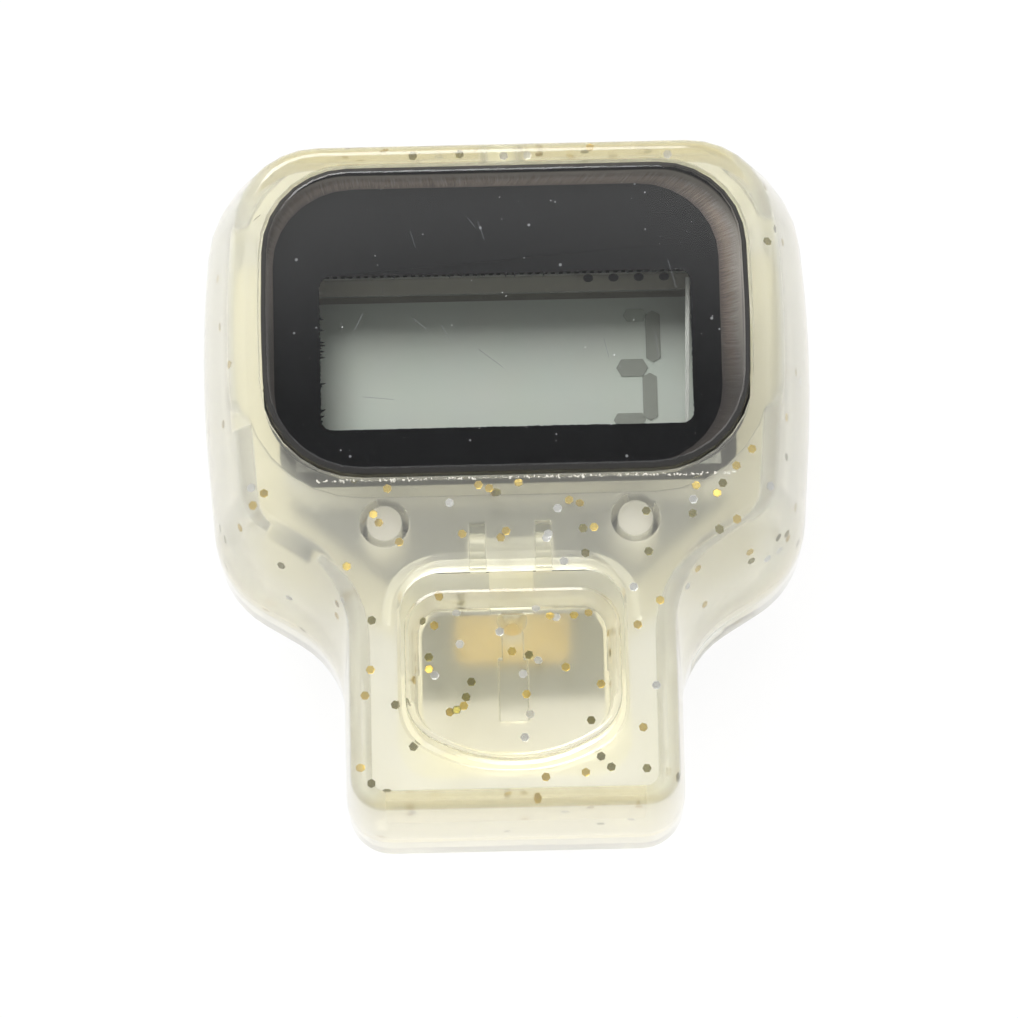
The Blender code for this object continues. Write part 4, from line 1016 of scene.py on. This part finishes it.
surface = node(tree, "BsdfPrincipled", {"Base Color": tone.outputs[2], "Metallic": 1.0, "Roughness": 0.3,
                                        "Normal": groove.outputs[0]})
node(tree, "OutputMaterial", {"Surface": surface.outputs[0]})
cell = merged_copy("button_cell", "spun_button_cell", METAL_ROUND)
dress(cell, spun)


def rolled(name, light, dark, along):
    """Metal with fine lines along one axis."""
    made, tree = empty_material(name)
    place = node(tree, "TexCoord", {})
    scale = Vector((1, 1, 1)) / LATHE_RING
    scale[along] = 1 / ROLLED_LENGTH
    lines = node(tree, "Mapping", {"Vector": place.outputs["Object"], "Scale": scale})
    grain = node(tree, "TexNoise", {"Vector": lines.outputs[0], "Scale": 1.0, "Detail": 2.0})
    tone = node(tree, "Mix", {"data_type": "RGBA", 0: grain.outputs["Fac"], 6: colour(dark),
                              7: colour(light)})
    surface = node(tree, "BsdfPrincipled", {"Base Color": tone.outputs[2], "Metallic": 1.0,
                                            "Roughness": 0.28})
    node(tree, "OutputMaterial", {"Surface": surface.outputs[0]})
    return made


X, Y, Z = range(3)
spring = rolled("spring_steel_rolled", "CFCBC2", "A39F96", X)
for name in ("cell_contact_positive", "cell_contact_negative"):
    dress(name, spring)
dress(dome, rolled("stainless_dome_pressed", "DAD8D2", "B4B2AC", Y))

# %% [markdown]
# ## Screws
# The two screws have a cross recess. Two crossed blades with a slight taper are cut out of each head.

# %% Screws with a cross recess
BLADE = mm(0.36, 1.5, 0.9)
BLADE_TIP = 0.75
DRIVEN_TO = 0.4
zinc = rolled("zinc_plate_bright", "C6C7C4", "9A9B98", Z)
for side in ("left", "right"):
    screw = merged_copy("shell_screw_" + side, "cross_screw_" + side, METAL_ROUND)
    low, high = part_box("shell_screw_" + side)
    for quarter in (0, 1):
        blade = begin(bpy.ops.mesh.primitive_cube_add, size=1)
        blade.data.transform(Matrix.Diagonal((*BLADE, 1)))
        for point in blade.data.vertices:
            point.co.y *= BLADE_TIP if point.co.z > 0 else 1.0
        spin(blade, quarter * QUARTER_TURN + DRIVEN_TO)
        shift(blade, ((low.x + high.x) / 2, (low.y + high.y) / 2, low.z))
        add_modifier(screw, "BOOLEAN", operation="DIFFERENCE", solver="EXACT", object=blade)
        apply_modifiers(screw)
        bpy.data.objects.remove(blade, do_unlink=True)
    dress(screw, zinc)

# %% [markdown]
# ## Glitter
# The plastic is filled with hexagons cut from metallised film, 0.47 mm across. One is made from a
# six-sided plate whose top is inset and pressed down, so that its rim curls up a little. Copies are
# scattered inside the walls. Moulding lays them along the flow, so each follows the nearest surface and
# tips a little. A ray cast tells whether a place is in the plastic: it crosses an odd number of walls.

# %% One flake
FLAKE_ACROSS = 0.47 * MM
FLAKE_THICK = 0.02 * MM
FLAKE_RIM = 0.04 * MM
PLASTIC_RAY = Vector((0.013, 0.007, 1)).normalized()
PAST_WALL = 0.002 * MM
flake = begin(bpy.ops.mesh.primitive_cylinder_add, vertices=6, radius=FLAKE_ACROSS / 2, depth=FLAKE_THICK)
pick(flake, "FACE", lambda face: face.normal.z > 0.5)
with editing():
    bpy.ops.mesh.inset(thickness=FLAKE_RIM)
    bpy.ops.transform.translate(value=(0, 0, -FLAKE_THICK / 3))
print("a flake has", len(flake.data.polygons), "faces")


def flake_at(point, normal, tilt, spin_angle):
    """A copy of the flake, with its own mesh, lying along a surface."""
    made = bpy.data.objects.new("flake", flake.data.copy())
    lie = normal.to_track_quat("Z", "Y").to_matrix().to_4x4()
    turned = Matrix.Rotation(spin_angle, 4, "Z") @ Matrix.Rotation(tilt, 4, "X")
    made.data.transform(Matrix.Translation(point) @ lie @ turned)
    scene.collection.objects.link(made)
    return made


def in_plastic(tree, point):
    """True if a ray from the point crosses an odd number of surfaces."""
    crossed = 0
    spot = tree.ray_cast(point, PLASTIC_RAY)[0]
    while spot:
        crossed += 1
        spot = tree.ray_cast(spot + PLASTIC_RAY * PAST_WALL, PLASTIC_RAY)[0]
    return crossed % 2 == 1


# %% [markdown]
# Most flakes are gold. Seen flat on, many of them mirror a dark part of the room and look dark and greenish.
# So a quarter are gold flakes painted darker and greener, a painted reflection of that dark part. The rest
# are silver. Above the middle they lie farther apart, and most lie near an outer face, where they show.

# %% Scatter the flakes
FLAKE_CLEAR = 0.13 * MM
FLAKE_SHOWS = 0.4 * MM
SKIN_SHARE = 0.85
FLAKE_TILT = math.radians(14)
# The third tone is gold painted darker and greener, a painted reflection of a dark part of the room.
TONES = ("gold", "gold", "gold_painted_dark", "silver")
random.seed(11)


def scatter(piece, wanted, top_share):
    """Flakes by tone, at random places inside the piece. top_share thins them out above the middle."""
    tree = surface_tree(piece)
    corners = [v.co for v in piece.data.vertices]
    low = [min(c[i] for c in corners) for i in range(3)]
    high = [max(c[i] for c in corners) for i in range(3)]
    made = {tone: [] for tone in TONES}
    while sum(len(flakes) for flakes in made.values()) < wanted:
        point = Vector([random.uniform(a, b) for a, b in zip(low, high)])
        if point.y > 0 and random.random() > top_share:
            continue
        near, normal, index, gap = tree.find_nearest(point)
        outside = piece.data.polygons[index].material_index == 0 and gap < FLAKE_SHOWS
        if gap < FLAKE_CLEAR or not outside and random.random() < SKIN_SHARE or not in_plastic(tree, point):
            continue
        tilt = random.gauss(0, FLAKE_TILT)
        made[random.choice(TONES)].append(flake_at(point, normal, tilt, random.uniform(0, math.pi)))
    return made


in_front = scatter(front, 150, top_share=0.45)
in_rear = scatter(rear, 90, top_share=0.4)
in_button = scatter(button, 24, top_share=1.0)

# %% [markdown]
# A few flakes stand out in the picture. They are set one by one, in millimetres on the face, each just under
# the surface that a ray straight down meets there.

# %% Flakes that stand out
FLAKE_DEPTH = 0.2 * MM
ABOVE_ALL = 20 * MM
ON_FACE = {
    "gold_painted_dark": ((-4.5, 16.4), (3.7, -4.4), (6.9, -4.3), (10.7, -0.9), (-7.0, -7.5), (-5.9, -11.8)),
    "gold": ((-1.0, -0.9), (-2.4, -3.2), (4.2, -3.0), (-6.1, -0.8), (-7.1, -10.0), (-7.4, -11.3),
             (1.5, -15.6), (7.4, -6.8), (10.4, -1.4), (-0.2, -3.1)),
    "silver": ((-3.0, -1.6), (2.4, -2.0), (1.8, -3.5), (9.2, -1.7), (6.1, -6.1), (7.1, -11.1), (0.1, 16.3),
               (8.4, 16.2), (1.3, 16.3), (1.9, -3.3))}
ON_BUTTON = {"gold_painted_dark": ((-2.1, -10.6), (0.8, -9.3), (-4.2, -9.3)),
             "gold": ((-4.2, -9.9), (-3.2, -12.1), (-2.5, -11.8), (1.9, -7.3), (3.1, -7.3)),
             "silver": ((1.2, -7.0), (2.2, -7.4))}
for piece, places, group in ((front, ON_FACE, in_front), (button, ON_BUTTON, in_button)):
    tree = surface_tree(piece)
    for tone, spots in places.items():
        for x, y in spots:
            top, normal, *_ = tree.ray_cast(Vector((x * MM, y * MM, ABOVE_ALL)), Vector((0, 0, -1)))
            tilt = random.gauss(0, FLAKE_TILT / 2)
            group[tone].append(flake_at(top - normal * FLAKE_DEPTH, normal, tilt, random.uniform(0, math.pi)))

# %% Glitter films
# The darker, greener gold is a painted reflection of a dark part of the room, not a film of its own colour.
FILM_TONES = {"gold": ("A88C34", "D8C060"), "gold_painted_dark": ("5E5822", "8A8136"), "silver": ("AEB0B4", "E6E7EA")}
FILM_CLOUD = 1.0 * MM
FILM_SHINE = {"Metallic": 0.75, "Roughness": 0.22}
films = {tone: mottled("metallised_film_" + tone, dark, light, FILM_CLOUD, FILM_SHINE, detail=0.0)
         for tone, (dark, light) in FILM_TONES.items()}
for group, where, body in ((in_front, "front", "housing"), (in_rear, "rear", "housing"),
                           (in_button, "button", "counting")):
    for tone, flakes in group.items():
        piece = settle(join(flakes), "glitter_" + tone + "_" + where, body)
        dress(piece, films[tone])
bpy.data.objects.remove(flake, do_unlink=True)

# %% [markdown]
# ## Wear
# Under the lower edge of the lens the glue has dried in a line of pale crumbs. Each is a small ball of
# twenty faces, squashed and turned at random. Dust of the same kind lies on the lens, far smaller.
# Fields and sizes are in millimetres.

# %% Crumbs and dust
LENS_TOP = 13.302
CRUMB_LINE = ((-9.6, 11.4), (-0.48, -0.34), 13.01)
DUST_FIELD = ((-10.5, 10.5), (1.0, 14.8), LENS_TOP)
GRAIN_LONG = (0.6, 1.6)
GRAIN_WIDE = (0.6, 1.0)
GRAIN_FLAT = 0.5
random.seed(23)


def grain_at(place, size):
    made = begin(bpy.ops.mesh.primitive_ico_sphere_add, subdivisions=1, radius=size)
    with editing("SELECT"):
        bpy.ops.transform.resize(value=(random.uniform(*GRAIN_LONG), random.uniform(*GRAIN_WIDE), GRAIN_FLAT))
    spin(made, random.uniform(0, math.pi))
    shift(made, mm(*place))
    return made


def strewn(name, field, count, sizes, smallest_first):
    """Grains strewn over a field. The higher smallest_first, the more of them are small."""
    across, along, level = field
    grains = []
    for _ in range(count):
        size = sizes[0] + (sizes[1] - sizes[0]) * random.random() ** smallest_first
        grains.append(grain_at((random.uniform(*across), random.uniform(*along), level), size * MM))
    return settle(join(grains), name)


crumbs = strewn("dried_glue_crumbs", CRUMB_LINE, 340, (0.018, 0.075), smallest_first=2.0)
dust = strewn("dust_on_lens", DUST_FIELD, 110, (0.012, 0.04), smallest_first=3.0)
for piece, base, shade in ((crumbs, "F1EFE6", "D9D5C6"), (dust, "D9DADC", "F0F0F0")):
    dress(piece, crystal(piece.name + "_pale", base, shade, 0.8))

# %% [markdown]
# Fine scratches cross the lens. Each is a flat bar with pointed ends, like a display segment, and a
# sixtieth of a millimetre wide, lying on the lens at its own angle.

# %% Scratches
SCRATCHES = 12
SCRATCH_WIDTH = 0.016
SCRATCH_LENGTHS = (0.4, 1.6)
SCRATCH_FLAT = 0.3
SCRATCH_TURN, SCRATCH_VARIES = 0.3, 0.7
SCRATCHED_X, SCRATCHED_Y = (-9, 9), (3.0, 14.0)
scratches = []
for _ in range(SCRATCHES):
    scratch = segment((0, 0), random.uniform(*SCRATCH_LENGTHS), True, SCRATCH_WIDTH)
    shift(scratch, (0, 0, -CRYSTAL_Z))
    scratch.data.transform(Matrix.Diagonal((1, 1, SCRATCH_FLAT, 1)))
    spin(scratch, random.gauss(SCRATCH_TURN, SCRATCH_VARIES))
    shift(scratch, mm(random.uniform(*SCRATCHED_X), random.uniform(*SCRATCHED_Y), LENS_TOP))
    scratches.append(scratch)
scratched = settle(join(scratches), "lens_scratches")
dress(scratched, crystal("acrylic_scratch_white", "6E7173", "8F9294", 0.8))

# %% [markdown]
# ## Floor and light
# The counter lies on white paper. What the camera sees of it is mostly a white of its own, and the rest
# is lit paper that keeps a soft shadow. Light that bounces off it sees plain paper.

# %% Floor
FLOOR_SIDE = 4.0
FLOOR_Z = -0.05 * MM
SHOWN_WHITE = 0.9
LIT_WHITE = 0.12
floor = begin(bpy.ops.mesh.primitive_plane_add, size=FLOOR_SIDE, location=(0, 0, FLOOR_Z))
floor.name = "floor"
paper, tree = empty_material("white_paper")
path = node(tree, "LightPath", {})
shown_or_mirrored = node(tree, "Math", {"operation": "MAXIMUM", 0: path.outputs["Is Camera Ray"],
                                        1: path.outputs["Is Glossy Ray"]})
seen = node(tree, "Math", {"operation": "MAXIMUM", 0: shown_or_mirrored.outputs[0],
                           1: path.outputs["Is Transmission Ray"]})
glow = node(tree, "Emission", {"Color": (1, 1, 1, 1), "Strength": SHOWN_WHITE})
lit = node(tree, "BsdfDiffuse", {"Color": (LIT_WHITE, LIT_WHITE, LIT_WHITE, 1)})
shown = node(tree, "AddShader", {0: glow.outputs[0], 1: lit.outputs[0]})
plain = node(tree, "BsdfDiffuse", {"Color": colour("E6E6E6")})
swap = node(tree, "MixShader", {0: seen.outputs[0], 1: plain.outputs[0], 2: shown.outputs[0]})
node(tree, "OutputMaterial", {"Surface": swap.outputs[0]})
floor.data.materials.append(paper)

# %% [markdown]
# The light is a white tent with a black card in its roof, and one large soft box above the counter's
# head. The lower part of the lens mirrors the card and its upper part the tent, so the black mask fades
# from grey at the top to black at the foot. The soft box gives the mask's shadow on the display.

# %% Tent and soft box
TENT = 0.82
CARD = 0.07
CARD_LEAN = math.radians(5)
CARD_EDGE = (math.cos(math.radians(10.6)), math.cos(math.radians(8.0)))
BOX_PLACE = mm(-110, 400, 400)
BOX_SIDE = 300 * MM
BOX_WATTS = 1.9
world = bpy.data.worlds.new("tent")
world.use_nodes = True
tree = world.node_tree
tree.nodes.clear()
way = node(tree, "TexCoord", {})
card_way = Vector((0, math.sin(CARD_LEAN), math.cos(CARD_LEAN)))
near = node(tree, "VectorMath", {"operation": "DOT_PRODUCT", 0: way.outputs["Generated"], 1: card_way})
card = node(tree, "MapRange", {"interpolation_type": "SMOOTHSTEP", 0: near.outputs["Value"],
                               1: CARD_EDGE[0], 2: CARD_EDGE[1], 3: TENT, 4: CARD})
tent = node(tree, "Background", {"Color": (1, 1, 1, 1), "Strength": card.outputs[0]})
node(tree, "OutputWorld", {"Surface": tent.outputs[0]})
scene.world = world

box_data = bpy.data.lights.new("softbox", "AREA")
box_data.size = BOX_SIDE
box_data.energy = BOX_WATTS
softbox = bpy.data.objects.new("softbox", box_data)
softbox.matrix_world = Matrix.Translation(BOX_PLACE) @ BOX_PLACE.to_track_quat("Z", "Y").to_matrix().to_4x4()
scene.collection.objects.link(softbox)
scene.view_settings.view_transform = "Standard"
